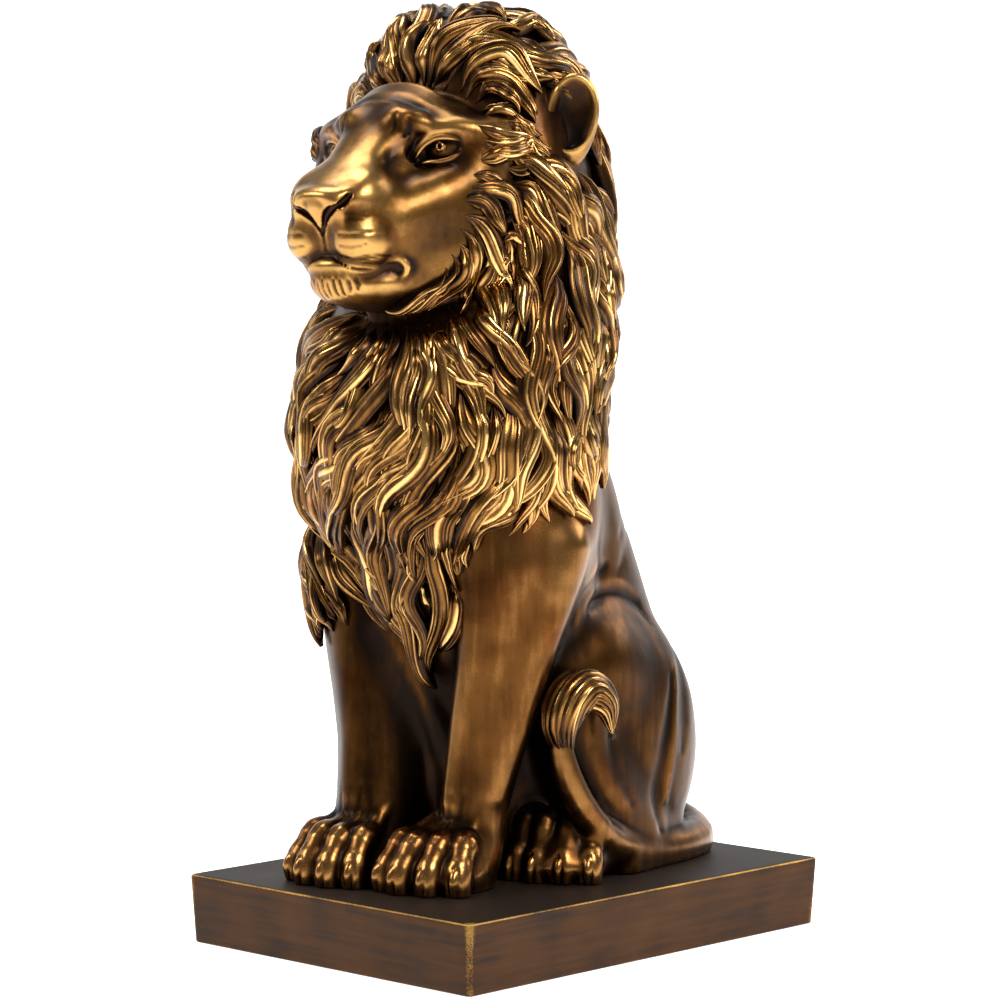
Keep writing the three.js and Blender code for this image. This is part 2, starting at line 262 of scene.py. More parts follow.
@dataclass(frozen=True)
class Loft:
    """Oval sections stacked along one axis.

    Each station is (place on the axis, centre 1, centre 2, half-size 1, half-size 2 low, half-size 2 high),
    where 1 and 2 are the other two axes in order. Full is the exponent of the oval: 2 is an ellipse.
    """

    stations: tuple
    axis: int = 2
    full: float = 2.0

    def reach(self) -> tuple[Array, Array]:
        """Lowest and highest corner of a box round the shape."""
        at, c1, c2, half, deep, tall = np.array(self.stations, float).T
        low, high = np.zeros(3), np.zeros(3)
        order = [self.axis, *other_axes(self.axis)]
        low[order] = at[0], (c1 - half).min(), (c2 - deep).min()
        high[order] = at[-1], (c1 + half).max(), (c2 + tall).max()
        return low, high

    def distance(self, x: Array, y: Array, z: Array) -> Array:
        """(k - 1) / |gradient of k| of the section's oval, k = (|p / a|^n + |q / b|^n)^(1/n)."""
        rows = np.array(self.stations, float)
        fine = smooth_path(rows, 10 * len(rows))
        along, first, second = ((x, y, z)[k] for k in (self.axis, *other_axes(self.axis)))
        c1, c2, half, low, high = (np.interp(along, fine[:, 0], fine[:, k]).astype(np.float32) for k in range(1, 6))
        p, q, n = np.abs(first - c1), second - c2, self.full
        depth = np.where(q < 0, low, high)
        q = np.abs(q)
        k = ((p / half) ** n + (q / depth) ** n) ** (1 / n)
        slope = ((p ** (n - 1) / half ** n) ** 2 + (q ** (n - 1) / depth ** n) ** 2) ** 0.5
        slope = slope / np.maximum(k, 1e-4) ** (n - 1)
        level = (k - 1) / np.maximum(slope, 1 / np.maximum(half, depth))
        return np.maximum(level, np.maximum(rows[0, 0] - along, along - rows[-1, 0]))


@dataclass(frozen=True)
class Slab:
    """Everything on the far side of a plane: place is on it, and way points out of the kept side."""

    place: tuple
    way: tuple

    def reach(self) -> tuple[Array, Array]:
        """The whole of space."""
        return np.full(3, -BEYOND), np.full(3, BEYOND)

    def distance(self, x: Array, y: Array, z: Array) -> Array:
        """Signed distance to the plane, positive on the side that way points to."""
        way = np.array(self.way, float) / np.linalg.norm(self.way)
        return (x - self.place[0]) * way[0] + (y - self.place[1]) * way[1] + (z - self.place[2]) * way[2]


@dataclass(frozen=True)
class Stroke:
    """One modelling step: a shape, how softly it blends (millimetres), and how it meets the clay."""

    shape: object
    blend: float = 4.0
    join: Join = Join.LAY


def meet(clay: Array, shape: Array, blend: float, join: Join) -> Array:
    """Soft union or soft cut of two distance arrays.

    The polynomial form: the harder of the two, moved by h^2 blend / 4 with h = 1 - |difference| / blend.

    Args:
        clay: Distances of the clay.
        shape: Distances of the shape that is laid on or cut away.
        blend: How wide the join is softened, in millimetres.
        join: Union or cut.

    Returns:
        The joined distances.
    """
    near = np.maximum(blend - np.abs(clay - join.value * shape), 0) / blend
    soft = near * near * blend * 0.25
    return np.minimum(clay, shape) - soft if join is Join.LAY else np.maximum(clay, -shape) + soft


class Clay:
    """Signed distances on a cubic grid, to which strokes are applied in order."""

    def __init__(self, low: tuple, high: tuple, pitch: float) -> None:
        """Start with empty space.

        Args:
            low: Lowest corner of the block, in millimetres.
            high: Highest corner of the block.
            pitch: Distance between neighbouring grid points.
        """
        self.low = np.array(low, float)
        self.pitch = pitch
        self.count = np.ceil((np.array(high) - self.low) / pitch).astype(int) + 1
        self.values = np.full(self.count, FAR, np.float32)

    def copy(self) -> "Clay":
        """A second block on the same grid with the same values."""
        twin = copy.copy(self)
        twin.values = self.values.copy()
        return twin

    def window(self, low: Array | float = -BEYOND, high: Array | float = BEYOND) -> tuple[tuple, list[Array]]:
        """The grid points inside a box.

        Args:
            low: Lowest corner of the box.
            high: Highest corner of the box.

        Returns:
            A slice per axis, and x, y and z of the points as arrays that broadcast to the window's shape.
        """
        first = np.clip(np.floor((low - self.low) / self.pitch), 0, self.count).astype(int)
        last = np.clip(np.ceil((high - self.low) / self.pitch) + 1, 0, self.count).astype(int)
        spans = [(self.low[k] + self.pitch * np.arange(first[k], last[k])).astype(np.float32) for k in range(3)]
        return tuple(slice(a, b) for a, b in zip(first, last)), np.meshgrid(*spans, indexing="ij", sparse=True)

    def apply(self, stroke: Stroke) -> None:
        """Lay on or cut away one shape, only inside the box that it can change."""
        low, high = stroke.shape.reach()
        margin = stroke.blend + 5
        window, grid = self.window(low - margin, high + margin)
        self.values[window] = meet(self.values[window], stroke.shape.distance(*grid), stroke.blend, stroke.join)

    def engrave(self, relief: object, near: float) -> None:
        """Add a relief to the distances inside its box.

        Args:
            relief: A groove, in the statue's frame or on the head.
            near: How far from the surface the clay is still changed.
        """
        window, grid = self.window(*relief.reach())
        values = self.values[window]
        close = np.abs(values) < near
        values[close] += relief.distance(*(places[close] for places in np.broadcast_arrays(*grid)))

    def roughen(self, relief: Callable[[Array], Array], reach: float = 3.0) -> None:
        """Add a relief, in millimetres and positive inwards, to the clay nearer its surface than reach."""
        near = np.abs(self.values) < reach
        self.values[near] += relief(self.low + np.argwhere(near) * self.pitch).astype(np.float32)

    def sample(self, points: Array) -> Array:
        """The field at any points, blended linearly between the eight grid values round each."""
        at = np.clip((points - self.low) / self.pitch, 0, self.count - 1.001)
        base = at.astype(int)
        part = at - base
        total = np.zeros(len(points))
        for corner in CORNERS:
            weight = np.prod(np.where(corner == 1, part, 1 - part), axis=1)
            total += weight * self.values[tuple((base + corner).T)]
        return total

    def slope(self, points: Array, reach: float) -> Array:
        """The field's gradient by central differences, not scaled to unit length."""
        rows = [(self.sample(points + step) - self.sample(points - step)) / (2 * reach) for step in reach * np.eye(3)]
        return np.stack(rows, axis=1)

    def pull(self, points: Array, reach: float, least: float, limit: float, rounds: int) -> Array:
        """Move points onto the surface by value times slope / |slope|^2, in rounds.

        Args:
            points: Where they start.
            reach: Step of the slope's differences.
            least: Floor of the slope's square, so that flat places don't throw points away.
            limit: Longest move in one round, in millimetres.
            rounds: How many moves.

        Returns:
            The moved points.
        """
        for _ in range(rounds):
            slope = self.slope(points, reach)
            steep = np.maximum((slope ** 2).sum(1), least)
            shift = slope * (self.sample(points) / steep)[:, None]
            length = np.linalg.norm(shift, axis=1, keepdims=True)
            points = points - shift * np.minimum(1, limit / np.maximum(length, 1e-9))
        return points

    def skin(self) -> tuple[Array, Array]:
        """The zero surface as points and four-sided faces.

        Each grid cell that the surface crosses gets one point, the mean of the crossings on its twelve
        edges, moved onto the surface. Each grid edge that crosses it joins the four cells round it.

        Returns:
            Points (n, 3) in millimetres and faces (m, 4), facing outwards.
        """
        inside = self.values < 0
        sizes = np.array(inside.shape)
        filled = np.zeros(sizes - 1, np.uint8)
        for corner in CORNERS:
            filled += inside[tuple(slice(o, o + s - 1) for o, s in zip(corner, sizes))]
        mixed = (filled > 0) & (filled < 8)
        cells = np.argwhere(mixed)
        number = np.full(mixed.shape, -1, np.int64)
        number[mixed] = np.arange(len(cells))
        values = np.stack([self.values[tuple((cells + corner).T)] for corner in CORNERS], axis=1)
        total, hits = np.zeros((len(cells), 3)), np.zeros(len(cells))
        for a, start in enumerate(CORNERS):
            for axis in np.flatnonzero(start == 0):
                b = a | (1 << axis)
                va, vb = values[:, a], values[:, b]
                cross = (va < 0) != (vb < 0)
                share = np.where(cross, va / np.where(va == vb, 1, va - vb), 0)
                total += np.where(cross[:, None], start + share[:, None] * (CORNERS[b] - start), 0)
                hits += cross
        points = self.low + (cells + total / hits[:, None]) * self.pitch
        points = self.pull(points, self.pitch * 0.5, 0.05, 0.4 * self.pitch, 2)
        faces = []
        for axis in range(3):
            before, after = [slice(1, -1)] * 3, [slice(1, -1)] * 3
            before[axis], after[axis] = slice(0, -1), slice(1, None)
            before, after = inside[tuple(before)], inside[tuple(after)]
            edges = np.argwhere(before != after)
            outward = before[tuple(edges.T)]
            one, two, _ = np.roll(np.eye(3, dtype=int), -axis - 1, axis=0)
            cells_round = [edges + one + two + back for back in (-one - two, -two, 0 * one, -one)]
            quad = np.stack([number[tuple(cell.T)] for cell in cells_round], axis=1)
            faces.append(np.where(outward[:, None], quad, quad[:, ::-1]))
        return points, np.concatenate(faces)

    def normals(self, points: Array) -> Array:
        """Unit outward directions of the field at points."""
        return unit(self.slope(points, self.pitch))

    def rub_and_painted_light(self, points: Array, broad: "Clay") -> Array:
        """How much a gold rub would catch, with painted shade: 0 in hollows, about 0.5 on flats, up to 1 on crests.

        It adds the field's mean curvature at a fine and a broad scale, and takes away how shut in the place is, read
        from the field a little way out along the normal.
        At 3 and 8 mm that darkening follows the dark patina in hollows; at 20 mm it is painted shade between the legs
        and under the mane.

        Args:
            points: Places on the surface.
            broad: A larger block of the same form, from which the shut-in places are read.

        Returns:
            The mark at each point: gold rub, with painted shade in shut-in places.
        """
        wear = np.full(len(points), 0.5)
        for reach, gain in ((1.6, 1.1), (4.0, 0.42)):
            mean = np.zeros(len(points))
            for step in reach * np.eye(3):
                mean += (self.sample(points + step) + self.sample(points - step)) / 6
            wear += gain * (mean - self.sample(points))
        out = self.normals(points)
        # Shut-in places darkened: dark patina in hollows at 3 and 8 mm, painted shade between the legs and under the
        # mane at 20 mm.
        for reach, gain in ((3.0, 0.35), (8.0, 0.35), (20.0, 0.3)):
            wear -= gain * np.clip(1 - broad.sample(points + out * reach) / reach, 0, 1.5)
        return np.clip(wear, 0, 1)


# Meshes

def make_piece(name: str, points: Array, faces: Array, rub_and_painted_light: Array) -> bpy.types.Object:
    """A mesh object at the origin from points in millimetres.

    Args:
        name: Name of the piece.
        points: One row per point.
        faces: One row of point numbers per face, all rows of one length.
        rub_and_painted_light: The mark of each point, gold rub together with painted shade and painted light, kept as
            an attribute for the material.

    Returns:
        The new object, smooth shaded, in metres.
    """
    mesh = bpy.data.meshes.new(name)
    mesh.vertices.add(len(points))
    mesh.vertices.foreach_set("co", (points * MM).astype(np.float32).ravel())
    mesh.loops.add(faces.size)
    mesh.loops.foreach_set("vertex_index", faces.astype(np.int32).ravel())
    mesh.polygons.add(len(faces))
    mesh.polygons.foreach_set("loop_start", np.arange(0, faces.size, faces.shape[1], dtype=np.int32))
    mesh.polygons.foreach_set("use_smooth", np.ones(len(faces), bool))
    mesh.attributes.new("rub_and_painted_light", "FLOAT", "POINT").data.foreach_set("value", rub_and_painted_light.astype(np.float32))
    mesh.update()
    mesh.validate()
    piece = bpy.data.objects.new(name, mesh)
    bpy.context.scene.collection.objects.link(piece)
    return piece


# The lion's masses, in the statue's frame

def to_head(points: Array) -> Array:
    """Places in the head's own frame: aside, back and up from the middle of the eye line."""
    return (points - EYE_LINE) @ HEAD_AXES.T


@dataclass(frozen=True)
class OnHead:
    """A shape given in the head's own frame, set in its place and turn on the statue."""

    shape: object

    def reach(self) -> tuple[Array, Array]:
        """Lowest and highest corner of a box round the turned shape."""
        places = EYE_LINE + box_corners(*self.shape.reach()) @ HEAD_AXES
        return places.min(0), places.max(0)

    def distance(self, x: Array, y: Array, z: Array) -> Array:
        """The shape's distance at the same place in the head's frame."""
        axes = HEAD_AXES.astype(np.float32)
        dx, dy = x - EYE_LINE[0], y - EYE_LINE[1]
        aside, back = (axes[k, 0] * dx + axes[k, 1] * dy for k in (0, 1))
        return self.shape.distance(aside, back, z - EYE_LINE[2])


@dataclass(frozen=True)
class Groove:
    """A line cut into, or raised on, whatever surface it meets, seen along one axis.

    The line runs through places given on the other two axes. Its section is a bell of the given radius.
    Low and high bound the part of the skipped axis that it touches. A negative depth raises it.
    """

    line: tuple
    skip: int
    radius: float
    depth: float
    low: float
    high: float
    soft: float = 3.0

    def reach(self) -> tuple[Array, Array]:
        """Lowest and highest corner of a box round the line's part."""
        flat = np.array(self.line, float)
        low, high = np.full(3, self.low - self.soft), np.full(3, self.high + self.soft)
        flanks = other_axes(self.skip)
        low[flanks], high[flanks] = flat.min(0) - 3 * self.radius, flat.max(0) + 3 * self.radius
        return low, high

    def distance(self, x: Array, y: Array, z: Array) -> Array:
        """What is added to the clay's distance: depth times a bell of the flat distance to the line."""
        first, second = other_axes(self.skip)
        along = (x, y, z)[self.skip]
        path = smooth_path(self.line, 4 * len(self.line))
        least = None
        for number, _, _, share, square in runs(path, ((x, y, z)[first], (x, y, z)[second])):
            place = (number + share) / (len(path) - 1)
            taper = 0.35 + 0.65 * np.sin(np.pi * np.clip(place, 0.03, 0.97))
            gap = square / (self.radius * taper) ** 2
            least = gap if least is None else np.minimum(least, gap)
        low, high = ((gap / self.soft + 1).clip(0, 1) for gap in (along - self.low, self.high - along))
        return self.depth * np.exp(-least) * (low * high)


BACK = Loft(
    (
        (24, 0, 44, 34, 46, 46), (45, 0, 43, 42, 52, 52), (65, 0, 42, 46, 57, 56), (85, 0, 41, 47, 59, 56),
        (110, 0, 36, 45, 57, 52), (135, 0, 25, 43, 50, 50), (160, 0, 15, 43, 48, 48), (185, 0, 6, 44, 44, 44),
        (210, 0, -4, 44, 42, 42), (240, 0, -12, 40, 38, 38),
    ),
    full=2.1,
)
CHEST = Loft(
    (
        (24, -6, -13, 28, 22, 24), (60, -6, -13, 27, 24, 27), (100, -5, -14, 27, 26, 29), (128, -1, -22, 34, 31, 32),
        (155, -2, -28, 44, 38, 38), (185, -2, -30, 48, 40, 40), (220, -2, -30, 46, 40, 40), (240, -2, -30, 38, 34, 34),
    ),
    full=2.1,
)


def foreleg(side: int, ahead: float) -> Loft:
    """One foreleg as level sections.

    Each row is height, distance aside, place along Y, two half-sizes, and how much stouter the right leg is.

    Args:
        side: 1 for the lion's left, -1 for its right.
        ahead: Shift of the whole leg along Y.

    Returns:
        The stacked sections from the paw up to the shoulder.
    """
    stations = []
    for z, x, y, half, deep, stout in (
        (30, 22, -53, 16, 16, 0.8), (46, 22, -48, 15.5, 16.5, 2.2), (60, 22, -43.5, 14.5, 15.5, 2.8),
        (84, 24.5, -38, 15.5, 16.5, 3), (110, 28.5, -34, 17.5, 19, 3.2), (138, 32.5, -30, 20.5, 22.5, 3.6),
        (165, 35.5, -25, 22, 27, 3), (190, 34, -20, 19, 27, 1), (215, 30, -16, 13, 22, 0),
    ):
        more = stout * (side < 0)
        stations.append((z, side * (x + more), ahead + y, half + more, deep + 1.2 * more, deep))
    return Loft(tuple(stations))


# Side of each foreleg, and its shift along Y: the right one stands 10 mm ahead.
LEGS_AHEAD = ((1, -1.0), (-1, -11.0))

MANE_CORE = Loft(
    (
        (172, -6, -33, 40, 40, 32), (180, -6, -32, 52, 50, 40), (190, -6, -31, 59, 57, 47), (205, -5, -30, 62, 61, 54),
        (222, -5, -30, 64, 63, 59), (250, -4, -28, 64, 61, 61), (268, -4, -26, 64, 52, 61), (285, -4, -24, 63, 37, 57),
        (318, -4, -21, 60, 31, 51), (345, -4, -20, 56, 35, 45), (370, -4, -19, 47, 37, 38), (386, -4, -19, 36, 31, 30),
        (393, -4, -19, 24, 21, 20), (396, -4, -19, 9, 9, 9),
    )
)
BIB = Loft(
    (
        (112, 2, -45, 2, 2, 2), (122, 1, -44, 6, 7, 7), (134, 0, -44, 10, 11, 11), (150, -1, -46, 19, 18, 20),
        (168, -2, -45, 29, 27, 29), (188, -3, -42, 43, 37, 38), (208, -4, -37, 54, 49, 50), (228, -4, -34, 57, 54, 56),
    )
)
CRANIUM = Loft(
    (
        (-4, 0, 9, 9, 10, 9), (-1, 0, 2, 25, 24, 20), (3, 0, -6, 35, 37, 29), (8, 0, -12, 40, 42, 36),
        (15, 0, -15, 44.5, 44, 39), (26, 0, -17, 46.5, 43, 39.5), (40, 0, -17, 42, 36, 36),
    ),
    axis=1,
    full=2.5,
)
CHEEKS = Loft(
    (
        (-44, 0, -30, 11, 7, 7), (-38, 0, -30, 16.5, 11, 12), (-31, 0, -31, 20.5, 15, 16.5),
        (-24, 0, -33, 25, 22.5, 21), (-16, 0, -35, 31, 28, 26),
        (-8, 0, -35.5, 37, 30, 28.5), (0, 0, -33, 42, 32, 29), (10, 0, -29, 46, 34.5, 26),
        (26, 0, -26, 46, 34, 24), (36, 0, -26, 42, 30, 22),
    ),
    axis=1,
    full=2.35,
)


class Lion:
    """Strokes that several pieces of the lion share."""

    @staticmethod
    def trunk() -> list[Stroke]:
        """Back, chest with the web of skin between the forelegs, both forelegs and shoulders."""
        strokes = [Stroke(BACK, 1), Stroke(CHEST, 16)]
        for side, ahead in LEGS_AHEAD:
            strokes.append(Stroke(foreleg(side, ahead), 7))
            strokes.append(Stroke(Egg((35 * side, ahead - 16, 180), (20, 27, 34), tip=-12), 12))
        return strokes


# Hair

@dataclass(frozen=True)
class LockForm:
    """How one set of locks is cut: millimetres, and counts of strands and mesh lines."""

    steps: int = 20
    across: int = 27
    strand: float = 2.0
    groove: float = 0.8
    heave: float = 1.3
    under: tuple = (0.72, 0.0, -0.72)
    lift_root: float = -2.4
    lift_tip: float = 2.2


@dataclass
class Hair:
    """Locks as ribbons with strand ridges, laid along paths on a surface."""

    form: LockForm
    points: list = field(default_factory=list)
    faces: list = field(default_factory=list)
    wear: list = field(default_factory=list)
    total: int = 0

    def lay(self, paths: Array, out: Array, width: Array, height: Array, seed: int) -> None:
        """Add one lock per path.

        Across the lock the height is a dome, (1 - |s|^2.3)^0.65, and strands are parted by narrow valleys,
        1 - |cos(pi k)|^0.7, each strand with a height of its own. Along it the width swells from the root
        and runs to a point, and the whole ribbon lifts off the surface towards the tip and twists.

        Args:
            paths: (locks, steps, 3) centre lines on the surface.
            out: (locks, steps, 3) outward directions.
            width: Half-width of each lock at its widest.
            height: Height of each lock at its widest.
            seed: Seeds the strands' places.
        """
        form, rng = self.form, np.random.default_rng(seed)
        locks, steps = paths.shape[:2]

        def draw(low: float, high: float, *shape: int) -> Array:
            """Even random numbers, one per lock."""
            return rng.uniform(low, high, (locks, *shape))

        t = np.linspace(0, 1, steps)
        along = unit(np.gradient(paths, axis=1))
        side = unit(np.cross(along, out))
        out = np.cross(side, along)
        roll = rng.normal(0, 0.14, (locks, 1)) + 0.26 * np.sin(2 * np.pi * (t * draw(0.6, 1.2, 1) + draw(0, 1, 1)))
        roll = (roll * np.minimum(1, 4 * t))[..., None]
        side, out = np.cos(roll) * side + np.sin(roll) * out, np.cos(roll) * out - np.sin(roll) * side

        belly = draw(0.45, 0.65, 1)
        narrow = np.clip((t - belly) / (1 - belly), 0, 1)
        swell = 0.08 + 0.92 * smooth_step(t, 0, 0.3)
        shape = swell * (1 - narrow ** draw(1.3, 2.0, 1)) + 0.05 * narrow
        half = width[:, None] * shape
        tall = height[:, None] * np.maximum(shape, 0.05) ** 0.6 * smooth_step(t, -0.25, 0.2)
        lift = form.lift_root * (1 - smooth_step(t, 0, 0.3))
        lift = lift + form.lift_tip * draw(0.2, 1.6, 1) * smooth_step(t, 0.15, 0.9)
        heave = np.sin(2 * np.pi * (t * draw(0.9, 1.7, 1) + draw(0, 1, 1)))
        lift = (lift + form.heave * heave * smooth_step(t, 0.05, 0.4)) * np.clip(width / 5, 0.5, 1.1)[:, None]

        s = np.sin(np.linspace(-1, 1, form.across) * np.pi / 2 * 0.9) / math.sin(math.pi / 2 * 0.9)
        bent = s + draw(-0.3, 0.3, 1, 1) * (1 - s * s)
        bent = bent + 0.13 * np.sin(np.pi * 1.7 * bent + draw(0, 6.3, 1, 1))
        strands = np.maximum(np.round(2 * width / form.strand + draw(-0.5, 0.5)), 2)[:, None, None]
        drift = rng.normal(0, 0.5, (locks, 1, 1)) * t[None, :, None] ** 2
        turn = strands * 0.5 * bent + draw(0, 1, 1, 1) + drift
        crest = np.abs(np.cos(np.pi * turn)) ** 0.7
        own = 0.5 + 0.5 * np.sin(2.4 * np.floor(turn + 0.5) + draw(0, 9, 1, 1))
        dome = np.clip(1 - np.abs(s) ** 2.3, 0, 1) ** 0.65
        groove = form.groove * np.clip(half / 3.2, 0.25, 1.2)[..., None] * (1 - crest) * dome ** 0.5
        up = tall[..., None] * dome * (0.78 + 0.22 * own) - groove + lift[..., None]
        under = np.array(form.under)
        deep = (-1.7 - 1.6 * (1 - under ** 2)) * np.minimum(1, shape[..., None] * 1.6) + lift[..., None] * 0.7
        spread = [paths[:, :, None] + side[:, :, None] * (at * half[..., None])[..., None] for at in (s, under)]
        raised = [out[:, :, None] * high[..., None] for high in (up, deep)]
        ring = np.concatenate([spread[0] + raised[0], spread[1] + raised[1]], axis=2)
        root = ring[:, 0].mean(1, keepdims=True)
        tip = ring[:, -1].mean(1, keepdims=True) + along[:, -1:] * 0.4
        wear = np.clip((0.07 + 0.9 * crest ** 1.4 * (0.55 + 0.45 * own)) * dome ** 0.5, 0, 1)
        wear = wear * (0.45 + 0.55 * smooth_step(t, 0.0, 0.4))[None, :, None]
        wear = np.concatenate([wear, np.zeros((locks, steps, len(under)))], axis=2).reshape(locks, -1)
        self.add(
            np.concatenate([ring.reshape(locks, -1, 3), root, tip], axis=1),
            np.concatenate([wear, np.zeros((locks, 1)), np.full((locks, 1), 0.7)], axis=1),
            steps,
        )

    def add(self, points: Array, wear: Array, steps: int) -> None:
        """Join each lock's rings of points into a closed skin with a fan at either end.

        Args:
            points: (locks, points, 3): the rings one after the other, then the root's and the tip's middle.
            wear: (locks, points) rub marks.
            steps: Rings in each lock.
        """
        locks, number = points.shape[:2]
        around = (number - 2) // steps
        i, j = np.meshgrid(np.arange(steps - 1), np.arange(around), indexing="ij")
        row, after = i * around, (j + 1) % around
        sides = cell_faces(row + j, row + after, row + around + after, row + around + j)
        k = np.arange(around)
        last, following = (steps - 1) * around, (k + 1) % around
        caps = [
            np.stack([np.full(around, number - 2), following, k], -1),
            np.stack([np.full(around, number - 1), last + k, last + following], -1),
        ]
        offset = self.total + number * np.arange(locks)[:, None, None]
        self.points.append(points.reshape(-1, 3))
        self.faces.append((np.concatenate([sides, *caps])[None] + offset).reshape(-1, 3))
        self.wear.append(wear.reshape(-1))
        self.total += locks * number

    def meshes(self) -> tuple[Array, Array, Array]:
        """All points, faces and wear values so far."""
        return np.concatenate(self.points), np.concatenate(self.faces), np.concatenate(self.wear)


@dataclass(frozen=True)
class Bounds:
    """A box that one piece is responsible for; its neighbours take over at its sides."""

    low: tuple
    high: tuple

    def depth(self, *places: Array) -> Array:
        """How deep inside the box a place is: the least distance to its sides, negative outside."""
        near = [np.minimum(at - low, high - at) for at, low, high in zip(places, self.low, self.high)]
        return np.minimum(np.minimum(near[0], near[1]), near[2])


DIVE = 0.9
OVERLAP = 0.5


def trimmed(clay: Clay, inside: tuple = (), outside: tuple = ()) -> Clay:
    """A copy of the clay whose surface dives under its neighbour's beyond a border.

    Past the border by OVERLAP, DIVE times the further distance is added to the field, so the two pieces
    share one surface up to the border and each closes inside the other.

    Args:
        clay: The whole form.
        inside: Boxes that the piece stays in.
        outside: Boxes that the piece leaves to others.

    Returns:
        The trimmed copy.
    """
    piece = clay.copy()
    _, grid = clay.window()
    for boxes, sign in ((inside, -1), (outside, 1)):
        for bounds in boxes:
            piece.values += DIVE * np.maximum(sign * bounds.depth(*grid) - OVERLAP, 0)
    return piece


def stone_hide(places: Array) -> Array:
    """Hand-finished skin: soft lumps 20 mm and 7 mm across, and brush lines that run down the limbs."""
    lumps = 0.45 * (layered_noise(places, 22, 3, 2) - 0.5)
    small = 0.12 * (layered_noise(places, 6, 11, 2) - 0.5)
    drawn = places * np.array([1.0, 1.0, 0.09])
    lines = 0.26 * (layered_noise(drawn, 2.6, 21, 2) - 0.5)
    return lumps + small + lines


PAW_BOXES = {
    "lion_forepaw_left": Bounds((-3.2, -100, 0), (56, -28, 66)),
    "lion_forepaw_right": Bounds((-60, -110, 0), (-3.2, -38, 66)),
    "lion_hindpaw_left": Bounds((19, -42, 0), (76, 2, 60)),
    "lion_hindpaw_right": Bounds((-76, -42, 0), (-19, 2, 60)),
}
UPPER = Bounds((-200, -200, 0), (200, 200, 236))
EYE_BOXES = {
    "lion_eye_left": Bounds((13, -82, 328), (41, -54, 346)),
    "lion_eye_right": Bounds((-40, -88, 328), (-12, -58, 346)),
}


@dataclass(frozen=True)
class Paw:
    """One paw: where its wrist is, where its four claws touch the plinth, and the knuckles' heights over it."""

    wrist: tuple
    claws: tuple
    top: float = 25.0
    rise: float = 36.0
    spread: float = 0.56

    def strokes(self) -> list[Stroke]:
        """Pad, four toes with two knuckles each, bones running up the wrist, and sheathed claws."""
        claws, wrist = np.array(self.claws, float), np.array(self.wrist, float)
        middle = claws.mean(0)
        ahead = middle - wrist
        ahead /= np.linalg.norm(ahead)
        lateral = np.array([-ahead[1], ahead[0]])
        turn = math.degrees(math.atan2(ahead[0], -ahead[1]))
        strokes = [
            Stroke(Egg((*(wrist * 0.56 + middle * 0.44), SEAT + 7), (18.5, 17, 10), turn=turn), 5),
            Stroke(Egg((*(wrist * 0.7 + middle * 0.3), SEAT + 12), (15.5, 15, 14), turn=turn), 6),
        ]
        details = []
        for claw in claws:
            root = wrist + lateral * ((claw - wrist) @ lateral) * self.spread + ahead * 9
            way = claw - root
            way /= np.linalg.norm(way)

            def row(*joints: tuple, pieces: int = 8) -> Limb:
                """A limb through joints given as place behind the claw's tip, height and radius."""
                return Limb(tuple((*(claw - way * back), SEAT + up, radius) for back, up, radius in joints), pieces)

            toe = row((21, self.top - 2.4, 4.6), (13.6, self.top - 5.2, 6.2), (9.4, 14.6, 5.5), (6.2, 10, 6.0),
                      (4.9, 5.2, 5.9), (4.8, 2, 5.5))
            bone = (*(root - ahead * 7), SEAT + self.rise - 3, 2.2)
            strokes.append(Stroke(Limb((bone, *toe.joints), 18), 1.5))
            sheath = row((1.8, 11.5, 1.2), (-0.5, 8.5, 2.2), (-0.9, 3.5, 2.5), (-0.6, -1, 2.3))
            nail = row((3.4, 11.6, 1.4), (0.8, 9.6, 1.8), (-0.3, 5.5, 1.8), (0.4, 0.4, 1.0))
            details += [Stroke(sheath, 1.0, Join.CUT), Stroke(nail, 0.7)]
        return strokes + details


PAWS = (
    Paw((22, -48), ((4.5, -84.5), (15.5, -86.5), (28, -82), (39.5, -74))),
    Paw((-22, -58), ((-42, -91.5), (-30.5, -96.3), (-18, -95.3), (-6.6, -90))),
    Paw((37, 2), ((27.5, -29), (39, -27.5), (49.8, -21.8), (59, -13.2)), top=29, rise=27, spread=0.75),
    Paw((-37, 2), ((-27.5, -29), (-39, -27.5), (-49.8, -21.8), (-59, -13.2)), top=29, rise=27, spread=0.75),
)


def body_grooves() -> list[Groove]:
    """Folds drawn on the hide: groin, hamstrings, ribs, wrist pleats and elbow creases."""
    grooves = []
    for side in (1, -1):
        low, high = (8, 90) if side > 0 else (-90, -8)
        for line, radius, depth, soft in (
            (((48, 112), (43, 95), (39, 76), (38, 58), (42, 46)), 2.8 * 1.3, 1.5 * 0.7, 8),
            (((60, 122), (55, 100), (53, 80)), 3.2 * 1.3, 1.2 * 0.7, 8),
            (((2, 145), (12, 149), (24, 150), (36, 145), (44, 136)), 2.8 * 1.3, 1.8 * 0.7, 8),
            (((-12, 140), (-6, 150), (4, 158), (16, 162)), 3.0 * 1.3, 1.4 * 0.7, 8),
            (((44, 178), (34, 168), (26, 160)), 4.0 * 1.3, 1.0 * 0.7, 8),
            (((50, 196), (40, 184), (28, 174)), 4.0 * 1.3, 0.8 * 0.7, 8),
            (((8, 96), (10, 78), (20, 60)), 3.0 * 1.3, 1.0 * 0.7, 8),
            (((2, 151), (14, 154), (28, 154), (40, 148)), 3.0, -0.35, 6),
            (((52, 118), (47, 98), (45, 78), (45, 58)), 2.6, -0.9, 6),
        ):
            grooves.append(Groove(line, 0, radius, depth, low, high, soft))
    for side, ahead in LEGS_AHEAD:
        for x0, x1, depth in ((15, 16, 0.35), (19, 19.5, 0.45), (23.5, 24, 0.4), (28, 28.5, 0.4)):
            line = ((side * x0, 52), (side * x0, 60), (side * x1, 70))
            grooves.append(Groove(line, 1, 1.1, depth, -90, ahead - 46, 4))
    return grooves


